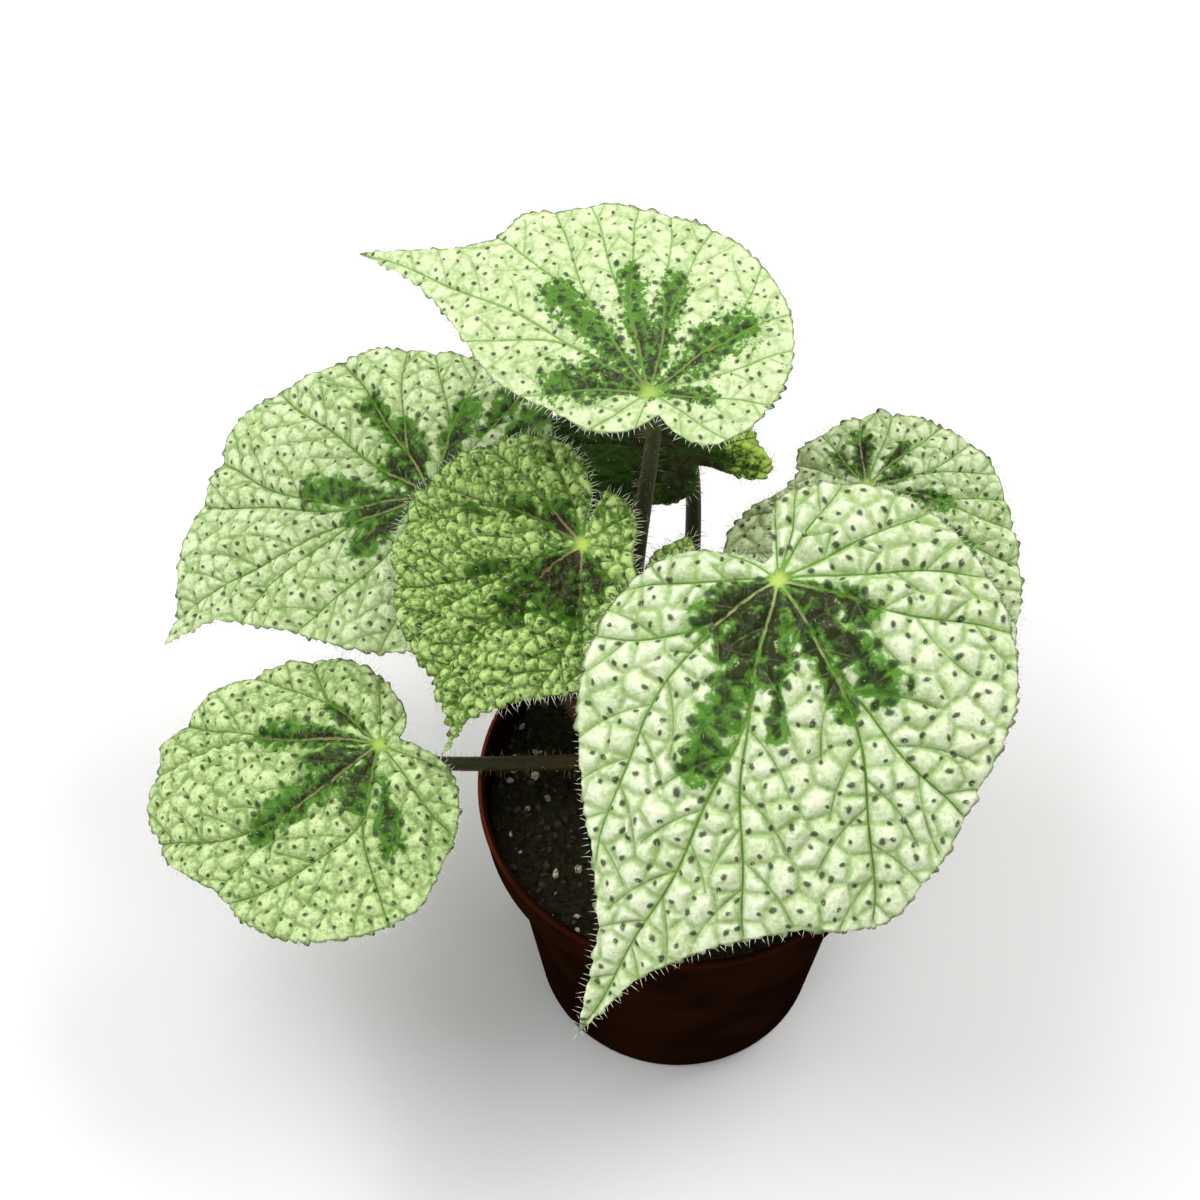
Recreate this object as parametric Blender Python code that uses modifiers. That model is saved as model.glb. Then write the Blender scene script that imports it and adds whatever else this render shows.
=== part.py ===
"""A begonia with silvery, puckered leaves in a small round nursery pot.

Metres, +Z up. The origin is the middle of the pot's base, which rests on z = 0. The sizes below are
in millimetres and are turned into metres where a shape is made.
"""

import math
from dataclasses import dataclass

import bmesh
import bpy
from mathutils import Euler, Vector

MM = 0.001
GAP = 0.3  # kept between pieces that touch on the real plant

# Pot
POT_HEIGHT = 85.0
LIP_RADIUS = 49.5
LIP_DEPTH = 2.6
COLLAR_RADIUS = 48.9
COLLAR_DEPTH = 13.0
COLLAR_TAPER = 0.6  # how much the collar narrows to its foot
LIP_ROUND = 0.5
STEP_IN = 4.4  # from the collar to the tapered wall
SHELF_DROP = 2.0  # how far the shelf between them slopes down
SHELF_RISE = 1.4  # its thickness, measured upwards
BASE_RADIUS = 36.0
FOOT_CHAMFER = 1.2
WALL = 1.3
FLOOR = 1.6
FLOOR_BEVEL = 1.0
DRAIN_HOLES = 8
DRAIN_CIRCLE = 24.0
DRAIN_RADIUS = 4.0

# Soil
SOIL_TOP = 75.0
SOIL_SHOULDER = 34.0  # the top is flat out to here
SOIL_EDGE_DROP = 0.6
SOIL_EDGE_ROUND = 2.0

# Rhizome, a rounded stem that lies on the soil
RHIZOME_CENTRE = Vector((-3.7, 10.0, SOIL_TOP + GAP))
RHIZOME_HALF = Vector((20.0, 8.0, 8.0))

# Leaves
BLADE_THICKNESS = 0.9
BLADE_RINGS = 5
STALK_STEPS = 10
STALK_NECK = 1.5  # straight at each end
STALK_FOOT_SWELL = 1.25
STALK_TOP_TAPER = 0.85
STALK_GAP = 0.4  # under the blade
MARGIN_STEPS = 720

# Stipules, the papery bracts beside the stalks
STIPULE_LENGTH = 9.0
STIPULE_RADIUS = 2.4
STIPULE_FLATNESS = 0.35


@dataclass(frozen=True)
class Leaf:
    """A blade and its stalk.

    junction: where the stalk meets the blade.
    heading, pitch, roll: the way the tip points from +X, tip down, left side up, in degrees.
    rise, droop: slope at the junction and how far it has turned down one reach out, in degrees,
    towards the tip, the left side, the back and the right side.
    margin: angle from the tip, anticlockwise, and length from the junction at the ends of the veins.
    foot: azimuth and elevation of the stalk's foot on the rhizome, in degrees.
    handles: how stiffly the stalk leaves the rhizome and meets the blade.
    """

    name: str
    junction: tuple
    heading: float
    pitch: float
    roll: float
    rise: tuple
    droop: tuple
    reach: float
    margin: tuple
    foot: tuple
    handles: tuple
    stalk_radius: float
    spokes: int


LEAVES = (
    Leaf(
        name="front",
        junction=(18.7, 10.3, 153),
        heading=-119, pitch=18, roll=0,
        rise=(5, 5, 5, 5), droop=(28, 35, 30, 35), reach=75,
        margin=(
            (0, 112), (5, 95), (10, 87), (17, 81), (30, 77), (41, 79), (54, 72), (71, 63),
            (91, 57.5), (128, 42), (163, 30), (190, 23), (209, 18), (218, 6), (246, 5), (263, 12),
            (286, 28), (308, 41), (325, 50.5), (339, 60.5), (353, 76.5), (358, 89), (360, 112),
        ),
        foot=(300, 55), handles=(30, 25), stalk_radius=2.2, spokes=52,
    ),
    Leaf(
        name="back",
        junction=(-9.2, 47.5, 172),
        heading=146, pitch=0, roll=-16,
        rise=(8, 0, 0, 0), droop=(22, 30, 30, 14), reach=75,
        margin=(
            (0, 84), (1, 68), (4, 57), (9, 49), (14, 43.5), (24, 35.5), (31, 29), (40, 22.5),
            (62, 16), (91, 10.5), (120, 7), (141, 6), (151, 11), (166, 18), (184, 22.5), (204, 27),
            (235, 35), (276, 43), (303, 48), (316, 52), (325, 53), (334, 57), (342, 56), (348, 59),
            (353, 65), (356, 72), (360, 84),
        ),
        foot=(124, 50), handles=(40, 25), stalk_radius=1.9, spokes=48,
    ),
    Leaf(
        name="left",
        junction=(-60.9, 59.9, 118),
        heading=195, pitch=20, roll=-8,
        rise=(5, 0, 0, 0), droop=(25, 30, 25, 10), reach=70,
        margin=(
            (0, 82), (3, 64), (10, 55.5), (21, 47.5), (40, 42), (60, 39), (90, 36), (115, 25),
            (128, 8), (138, 6), (150, 16), (170, 28), (190, 34), (205, 36.5), (222, 37.3), (238, 38.8),
            (254, 41.5), (282, 50), (293, 53), (303, 58.5), (316, 64.5), (323, 65), (342, 71),
            (355, 77), (360, 82),
        ),
        foot=(160, 30), handles=(30, 25), stalk_radius=2.0, spokes=48,
    ),
    Leaf(
        name="centre",
        junction=(-24.1, 29.3, 140),
        heading=-134, pitch=22, roll=0,
        rise=(5, 5, 0, 5), droop=(40, 30, 25, 30), reach=60,
        margin=(
            (0, 61), (3, 48), (9, 43.5), (15, 39), (23, 36.5), (41, 33.5), (52, 28), (65, 22),
            (90, 17), (120, 12), (140, 12.8), (169, 14), (198, 14), (206, 6), (213, 13), (228, 24.5),
            (240, 30.5), (254, 35), (277, 43.5), (286, 47.5), (296, 49), (319, 50), (328, 50),
            (340, 48.5), (351, 50), (357, 54), (360, 61),
        ),
        foot=(185, 68), handles=(25, 20), stalk_radius=1.7, spokes=44,
    ),
    Leaf(
        name="low_left",
        junction=(-72.1, 2.4, 97),
        heading=186, pitch=4, roll=0,
        rise=(5, 5, 0, 5), droop=(40, 40, 25, 25), reach=60,
        margin=(
            (0, 62), (10, 60.5), (17, 59), (25, 55), (33, 52.5), (48, 52.5), (58, 51.5), (71, 49),
            (90, 44.5), (99, 42), (105, 38), (132, 26), (153, 18), (168, 10), (192, 5), (215, 8),
            (234, 11), (250, 14), (273, 21.5), (299, 32), (313, 39), (323, 45.5), (331, 51.5),
            (339, 56.5), (347, 61), (360, 62),
        ),
        foot=(205, 40), handles=(13, 12), stalk_radius=1.7, spokes=44,
    ),
    Leaf(
        name="right",
        junction=(44.3, 62.1, 119),
        heading=-70, pitch=14, roll=7,
        rise=(5, 0, 0, 0), droop=(30, 25, 15, 20), reach=60,
        margin=(
            (0, 72), (5, 64), (14, 57), (26, 51), (39, 44), (62, 36), (83, 33), (99, 29),
            (117, 25), (135, 22), (150, 21), (163, 19), (180, 18), (205, 18), (221, 19), (236, 17),
            (249, 20), (264, 33), (275, 38), (295, 44), (320, 52), (345, 60), (355, 66), (360, 72),
        ),
        foot=(0, 30), handles=(25, 20), stalk_radius=1.8, spokes=44,
    ),
    Leaf(
        name="shaded",
        junction=(1.3, 68, 125),
        heading=165, pitch=8, roll=-5,
        rise=(5, 0, 5, 0), droop=(30, 30, 20, 20), reach=45,
        margin=(
            (0, 48), (6, 42), (20, 38), (34, 34), (50, 24), (62, 19), (75, 15.5), (90, 14),
            (100, 12.8), (110, 11.5), (118, 8), (134, 5), (150, 7.5), (156, 12), (161, 17),
            (168, 20.5), (180, 21), (188, 19), (200, 16.5), (215, 16.5), (230, 21), (245, 27),
            (270, 32), (300, 36), (330, 38), (352, 42), (360, 48),
        ),
        foot=(80, 20), handles=(25, 20), stalk_radius=2.0, spokes=36,
    ),
    Leaf(
        name="young",
        junction=(-6.8, 25.2, 118.5),
        heading=68, pitch=-8, roll=0,
        rise=(20, 30, 20, 30), droop=(30, 10, 10, 10), reach=20,
        margin=(
            (0, 22), (10, 18.5), (20, 16), (32, 12), (45, 9), (60, 7.5), (90, 6.5), (140, 6),
            (170, 5), (180, 3), (190, 5), (220, 8), (270, 10), (315, 13), (345, 16.5), (360, 22),
        ),
        foot=(20, 70), handles=(15, 8), stalk_radius=1.0, spokes=28,
    ),
)

STIPULES = (  # azimuth and elevation on the rhizome, in degrees
    (235, 35),
    (330, 20),
    (125, 12),
    (30, 12),
)


def clear_scene():
    for obj in list(bpy.data.objects):
        bpy.data.objects.remove(obj, do_unlink=True)


def new_collection(name):
    collection = bpy.data.collections.new(name)
    bpy.context.scene.collection.children.link(collection)
    return collection


def material(name, colour, roughness, coat=0.0):
    made = bpy.data.materials.new(name)
    made.use_nodes = True
    made.diffuse_color = (*colour, 1.0)
    shader = made.node_tree.nodes["Principled BSDF"]
    shader.inputs["Base Color"].default_value = (*colour, 1.0)
    shader.inputs["Roughness"].default_value = roughness
    shader.inputs["Metallic"].default_value = 0.0
    shader.inputs["Coat Weight"].default_value = coat
    return made


def mesh_object(name, bm, collection, surface, smooth=True):
    """Turns a bmesh into a named object with one material."""
    mesh = bpy.data.meshes.new(name)
    bm.to_mesh(mesh)
    bm.free()
    if smooth:
        mesh.shade_smooth()
    if surface:
        mesh.materials.append(surface)
    obj = bpy.data.objects.new(name, mesh)
    collection.objects.link(obj)
    return obj


def turned(name, profile, steps, collection, surface):
    """A profile of (radius, height) pairs, turned round +Z. Its outer side runs from top to bottom."""
    bm = bmesh.new()
    points = [bm.verts.new((radius * MM, 0.0, height * MM)) for radius, height in profile]
    for start, end in zip(points, points[1:]):
        bm.edges.new((start, end))
    obj = mesh_object(name, bm, collection, surface, smooth=False)
    screw = obj.modifiers.new("Turn", "SCREW")
    screw.angle = math.tau
    screw.steps = screw.render_steps = steps
    screw.use_merge_vertices = True
    screw.merge_threshold = 0.00001
    screw.use_smooth_shade = True
    return obj


# Pot and soil


def wall_radius(height):
    """Outer radius of the tapered wall below the collar."""
    top = COLLAR_RADIUS - STEP_IN - COLLAR_TAPER
    share = height / (POT_HEIGHT - COLLAR_DEPTH)
    return BASE_RADIUS + (top - BASE_RADIUS) * share


def make_pot(collection, cutters):
    shoulder = POT_HEIGHT - COLLAR_DEPTH
    lip_bottom = POT_HEIGHT - LIP_DEPTH
    shelf = shoulder - SHELF_DROP
    inner_collar = COLLAR_RADIUS - WALL
    profile = (
        (0.0, FLOOR),
        (wall_radius(FLOOR) - WALL - FLOOR_BEVEL, FLOOR),
        (wall_radius(FLOOR) - WALL, FLOOR + FLOOR_BEVEL),
        (wall_radius(shelf) - WALL, shelf + 1.0),
        (inner_collar - 0.4, shoulder + SHELF_RISE),
        (inner_collar, lip_bottom),
        (inner_collar, POT_HEIGHT - LIP_ROUND),
        (inner_collar + LIP_ROUND, POT_HEIGHT),
        (LIP_RADIUS - LIP_ROUND, POT_HEIGHT),
        (LIP_RADIUS, POT_HEIGHT - LIP_ROUND),
        (LIP_RADIUS, lip_bottom + 0.3),
        (COLLAR_RADIUS, lip_bottom),
        (COLLAR_RADIUS - COLLAR_TAPER, shoulder + 0.4),
        (wall_radius(shelf) + 0.5, shelf),
        (wall_radius(shelf), shelf - 1.0),
        (wall_radius(FOOT_CHAMFER), FOOT_CHAMFER),
        (BASE_RADIUS - FOOT_CHAMFER, 0.0),
        (0.0, 0.0),
    )
    pot = turned("pot", profile, 64, collection, material("pot", (0.02, 0.009, 0.005), 0.5))
    bm = bmesh.new()
    for index in range(DRAIN_HOLES):
        angle = math.tau * (index + 0.5) / DRAIN_HOLES
        made = bmesh.ops.create_cone(
            bm, cap_ends=True, segments=16, radius1=DRAIN_RADIUS * MM, radius2=DRAIN_RADIUS * MM,
            depth=4 * FLOOR * MM,
        )
        place = Vector((math.cos(angle), math.sin(angle), 0.0)) * DRAIN_CIRCLE * MM
        bmesh.ops.translate(bm, verts=made["verts"], vec=place)
    cutter = mesh_object("drain_cutter", bm, cutters, None, smooth=False)
    cutter.hide_render = True
    cutter.display_type = "WIRE"
    cut = pot.modifiers.new("Drain holes", "BOOLEAN")
    cut.operation = "DIFFERENCE"
    cut.solver = "EXACT"
    cut.object = cutter
    return pot


def make_soil(collection):
    shoulder = POT_HEIGHT - COLLAR_DEPTH
    shelf = shoulder - SHELF_DROP
    inset = WALL + GAP
    bottom = FLOOR + FLOOR_BEVEL + GAP
    rim = COLLAR_RADIUS - 0.5 - inset
    profile = (
        (0.0, SOIL_TOP),
        (SOIL_SHOULDER, SOIL_TOP),
        (rim - SOIL_EDGE_ROUND, SOIL_TOP - SOIL_EDGE_DROP * 0.6),
        (rim, SOIL_TOP - SOIL_EDGE_DROP),
        (rim, shoulder + SHELF_RISE + 0.4),
        (wall_radius(shelf) - inset, shelf + 1.2),
        (wall_radius(bottom) - inset, bottom),
        (0.0, bottom),
    )
    return turned("soil", profile, 48, collection, material("soil", (0.02, 0.016, 0.01), 0.95))


# Rhizome and what grows on it


def on_rhizome(azimuth, elevation):
    """A point on the rhizome and the way out of it there."""
    azimuth, elevation = math.radians(azimuth), math.radians(elevation)
    out = Vector((
        math.cos(azimuth) * math.cos(elevation),
        math.sin(azimuth) * math.cos(elevation),
        math.sin(elevation),
    ))
    point = RHIZOME_CENTRE + out * RHIZOME_HALF
    normal = Vector([a / b for a, b in zip(out, RHIZOME_HALF)]).normalized()
    return point, normal


def make_rhizome(collection):
    bm = bmesh.new()
    bmesh.ops.create_uvsphere(bm, u_segments=28, v_segments=16, radius=1.0)
    bmesh.ops.scale(bm, vec=RHIZOME_HALF * MM, verts=bm.verts)
    cut = bmesh.ops.bisect_plane(
        bm, geom=bm.verts[:] + bm.edges[:] + bm.faces[:], plane_co=(0, 0, 0), plane_no=(0, 0, -1),
        clear_outer=True,
    )
    rim = [item for item in cut["geom_cut"] if isinstance(item, bmesh.types.BMEdge)]
    bmesh.ops.edgeloop_fill(bm, edges=rim)
    bmesh.ops.recalc_face_normals(bm, faces=bm.faces)
    obj = mesh_object("rhizome", bm, collection, material("rhizome", (0.16, 0.06, 0.03), 0.7))
    obj.location = RHIZOME_CENTRE * MM
    return obj


def make_stipule(index, azimuth, elevation, collection, surface):
    """A flattened pointed bract that stands on the rhizome."""
    bm = bmesh.new()
    bmesh.ops.create_cone(
        bm, cap_ends=True, segments=12, radius1=STIPULE_RADIUS * MM, radius2=0.2 * MM,
        depth=STIPULE_LENGTH * MM,
    )
    bmesh.ops.scale(bm, vec=(1.0, STIPULE_FLATNESS, 1.0), verts=bm.verts)
    bmesh.ops.translate(bm, verts=bm.verts, vec=(0, 0, STIPULE_LENGTH / 2 * MM))
    obj = mesh_object(f"stipule_{index}", bm, collection, surface)
    point, out = on_rhizome(azimuth, elevation)
    obj.location = (point + out * GAP) * MM
    obj.rotation_euler = out.to_track_quat("Z", "Y").to_euler()
    return obj


# Leaves


def around(values, angle):
    """The value at an angle, between those for the tip, left side, back and right side."""
    tip, left, back, right = values
    along, across = math.cos(angle), math.sin(angle)
    return (tip if along > 0 else back) * along**2 + (left if across > 0 else right) * across**2


def margin_length(margin, angle):
    """Length from the junction to the margin: a smooth curve that doesn't overshoot its points."""
    chords = [(b[1] - a[1]) / (b[0] - a[0]) for a, b in zip(margin, margin[1:])]
    slopes = [chords[0]]
    for before, after in zip(chords, chords[1:]):
        turns = before * after <= 0
        slopes.append(0.0 if turns else 2 * before * after / (before + after))
    slopes.append(chords[-1])
    span = max(i for i in range(len(chords)) if margin[i][0] <= angle)
    (start, low), (end, high) = margin[span], margin[span + 1]
    width = end - start
    t = (angle - start) / width
    return (
        low * (1 + 2 * t) * (1 - t) ** 2
        + high * t * t * (3 - 2 * t)
        + width * t * (1 - t) * (slopes[span] * (1 - t) - slopes[span + 1] * t)
    )


def blade_point(leaf, angle, length):
    """A point of the blade, a length out from the junction along an angle in radians."""
    rise = math.radians(around(leaf.rise, angle))
    turn = math.radians(around(leaf.droop, angle)) / leaf.reach
    slope = rise - turn * length
    out = (math.sin(rise) - math.sin(slope)) / turn
    up = (math.cos(slope) - math.cos(rise)) / turn
    return Vector((out * math.cos(angle), out * math.sin(angle), up))


def margin_spokes(leaf):
    """Spokes (angle, length) that end at even steps along the margin, starting at the tip."""
    fine = []
    for step in range(MARGIN_STEPS + 1):
        angle = min(step * 360 / MARGIN_STEPS, 359.999)
        fine.append((math.radians(angle), margin_length(leaf.margin, angle)))
    ends = [Vector((length * math.cos(angle), length * math.sin(angle))) for angle, length in fine]
    walked = [0.0]
    for start, end in zip(ends, ends[1:]):
        walked.append(walked[-1] + (end - start).length)
    spokes = []
    place = 0
    for index in range(leaf.spokes):
        wanted = walked[-1] * index / leaf.spokes
        while walked[place + 1] < wanted:
            place += 1
        spokes.append(fine[place])
    return spokes


def make_blade(leaf, collection, surface):
    bm = bmesh.new()
    junction = bm.verts.new((0, 0, 0))
    spokes = margin_spokes(leaf)
    rings = []
    for ring in range(1, BLADE_RINGS + 1):
        share = ring / BLADE_RINGS
        rings.append([
            bm.verts.new(blade_point(leaf, angle, length * share) * MM) for angle, length in spokes
        ])
    for index in range(len(spokes)):
        after = (index + 1) % len(spokes)
        bm.faces.new((junction, rings[0][index], rings[0][after]))
        for inner, outer in zip(rings, rings[1:]):
            bm.faces.new((inner[index], outer[index], outer[after], inner[after]))
    obj = mesh_object(f"blade_{leaf.name}", bm, collection, surface)
    obj.location = Vector(leaf.junction) * MM
    obj.rotation_euler = blade_rotation(leaf)
    thicken = obj.modifiers.new("Thickness", "SOLIDIFY")
    thicken.thickness = BLADE_THICKNESS * MM
    thicken.offset = -1.0
    return obj


def blade_rotation(leaf):
    return Euler((math.radians(leaf.roll), math.radians(leaf.pitch), math.radians(leaf.heading)))


def bezier(points, t):
    a, b, c, d = points
    return (1 - t) ** 3 * a + 3 * t * (1 - t) ** 2 * b + 3 * t * t * (1 - t) * c + t**3 * d


def stalk_path(leaf):
    """Points from the rhizome to the underside of the blade, square to both where they end."""
    point, out = on_rhizome(*leaf.foot)
    foot = point + out * GAP
    up = blade_rotation(leaf).to_matrix() @ Vector((0, 0, 1))
    top = Vector(leaf.junction) - up * (BLADE_THICKNESS + STALK_GAP)
    leave, meet = leaf.handles
    controls = (foot + out * STALK_NECK, foot + out * leave, top - up * meet, top - up * STALK_NECK)
    bend = [bezier(controls, step / STALK_STEPS) for step in range(STALK_STEPS + 1)]
    return [foot, *bend, top]


def make_stalk(leaf, collection, surface):
    """A tapering tube from the rhizome to the underside of the blade."""
    path = stalk_path(leaf)
    data = bpy.data.curves.new(f"stalk_{leaf.name}", "CURVE")
    data.dimensions = "3D"
    data.bevel_depth = leaf.stalk_radius * MM
    data.bevel_resolution = 2
    data.use_fill_caps = True
    spline = data.splines.new("POLY")
    spline.points.add(len(path) - 1)
    for index, (point, place) in enumerate(zip(path, spline.points)):
        share = index / (len(path) - 1)
        place.co = (*((point - path[0]) * MM), 1.0)
        place.radius = STALK_FOOT_SWELL + (STALK_TOP_TAPER - STALK_FOOT_SWELL) * share
    data.materials.append(surface)
    obj = bpy.data.objects.new(f"stalk_{leaf.name}", data)
    obj.location = path[0] * MM
    collection.objects.link(obj)
    return obj


def main():
    clear_scene()
    plant = new_collection("potted_begonia")
    cutters = new_collection("cutters")
    make_pot(plant, cutters)
    make_soil(plant)
    make_rhizome(plant)
    papery = material("stipule", (0.35, 0.16, 0.08), 0.6)
    for index, (azimuth, elevation) in enumerate(STIPULES, start=1):
        make_stipule(index, azimuth, elevation, plant, papery)
    for leaf in LEAVES:
        blade = material(f"blade_{leaf.name}", (0.35, 0.5, 0.25), 0.45, coat=0.2)
        stalk = material(f"stalk_{leaf.name}", (0.12, 0.13, 0.03), 0.5)
        make_blade(leaf, plant, blade)
        make_stalk(leaf, plant, stalk)


main()
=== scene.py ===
"""Looks of the potted begonia: puckered silvery leaves, hairy stalks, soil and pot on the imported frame.

Shapes are worked out in millimetres and turned into metres where a mesh is made. A leaf is drawn flat
first, in its own plane with x towards its tip, and then bent and puckered.
"""

import math
from dataclasses import dataclass

import bmesh
import bpy
import numpy as np
from mathutils import Euler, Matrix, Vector, noise
from mathutils.geometry import delaunay_2d_cdt
from mathutils.kdtree import KDTree


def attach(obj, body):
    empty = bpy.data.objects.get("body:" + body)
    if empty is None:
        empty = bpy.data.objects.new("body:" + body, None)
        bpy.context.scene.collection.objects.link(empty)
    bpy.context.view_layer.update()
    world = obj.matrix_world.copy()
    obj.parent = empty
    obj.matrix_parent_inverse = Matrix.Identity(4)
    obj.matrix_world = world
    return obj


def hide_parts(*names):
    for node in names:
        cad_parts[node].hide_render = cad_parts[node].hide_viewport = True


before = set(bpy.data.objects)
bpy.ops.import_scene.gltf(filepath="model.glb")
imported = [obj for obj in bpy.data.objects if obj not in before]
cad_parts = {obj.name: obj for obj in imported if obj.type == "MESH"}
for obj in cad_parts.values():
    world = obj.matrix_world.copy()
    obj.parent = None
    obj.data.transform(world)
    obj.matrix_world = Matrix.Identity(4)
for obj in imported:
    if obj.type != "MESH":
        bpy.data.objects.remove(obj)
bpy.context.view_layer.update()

MM = 0.001
BODY = "root"
GAP = 0.3  # the CAD keeps this between pieces that touch

# The pot and soil, as in the CAD
POT_HEIGHT = 85.0
LIP_RADIUS = 49.5
LIP_DEPTH = 2.6
COLLAR_RADIUS = 48.9
COLLAR_DEPTH = 13.0
STEP_IN = 4.4
SHELF_DROP = 2.0
SHELF_RISE = 1.4
BASE_RADIUS = 36.0
WALL = 1.3
FLOOR = 1.6
DRAIN_HOLES = 8
DRAIN_CIRCLE = 24.0
DRAIN_RADIUS = 4.0
SOIL_TOP = 75.0
COLLAR_TAPER = 0.6  # how much narrower the collar is at its bottom
POT_SIDES = 128
EDGE = 0.5  # radius of the rounded edges
FILLET = 1.2  # radius between the wall and the floor, inside

# The rhizome, as in the CAD
RHIZOME_CENTRE = Vector((-3.7, 10.0, SOIL_TOP + GAP))
RHIZOME_HALF = Vector((20.0, 8.0, 8.0))

# Leaves
BLADE_THICKNESS = 0.9
STALK_NECK = 1.5
STALK_FOOT_SWELL = 1.25
STALK_TOP_TAPER = 0.85
STALK_STEPS = 48
STALK_SIDES = 20
STALK_RIPPLE = 0.02  # height of its five ribs, as a share of its radius
TOP_SPACING = 0.55  # between points of the upper face
UNDER_SPACING = 1.5  # between points of the underside
VEIN_SPACING = 0.42
PLATE = 0.55  # thickness of the blade itself
HUB = 4.0  # no spots this near the junction
SIDE_REACH = 2.6  # longest side vein, in puckers

# Hairs
RIM_HAIR_SPACING = 0.95
BLADE_HAIR_RADIUS = 0.09
STALK_HAIRS = 1.4  # for each mm of a stalk's length and each mm of its radius
STALK_HAIR_RADIUS = 0.055
RHIZOME_HAIRS = 700
RHIZOME_HAIR_RADIUS = 0.05

# The top of the soil
SOIL_SPACING = 0.9
GRAINS = 620
GRAIN_REACH = 46.5
PERLITE = 0.8  # grains with a tone above this are pale perlite

# Stipules: azimuth and elevation of each foot on the rhizome
STIPULES = ((235, 35), (330, 20), (125, 12), (30, 12))
STIPULE_LENGTH = 9.0


@dataclass(frozen=True)
class Leaf:
    """A blade and its stalk. The values from junction to stalk_radius repeat the CAD's.

    veins: main veins, each (angle, length to its fork, the angles where its branches reach the margin).
    dark: dark patches, each (angle, from, to, half width) along a ray from the junction.
    cell, bulge: width and height of the puckers. pleat: how far the main veins are sunk.
    spot_gap, spot: distance between spots and their radius.
    net: how clearly the folds between puckers show. silver: how much of the silver skin it has, from
    0, green, to 1. hairy: how many hairs it has. old_in_shade: an old blade in the shade of the others,
    whose darker colours and dark patches are painted shade.
    """

    name: str
    junction: tuple
    heading: float
    pitch: float
    roll: float
    rise: tuple
    droop: tuple
    reach: float
    margin: tuple
    foot: tuple
    handles: tuple
    stalk_radius: float
    veins: tuple
    dark: tuple
    cell: float
    bulge: float
    pleat: float
    spot_gap: float
    spot: float
    net: float
    silver: float
    hairy: float
    seed: int
    old_in_shade: bool = False


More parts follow.
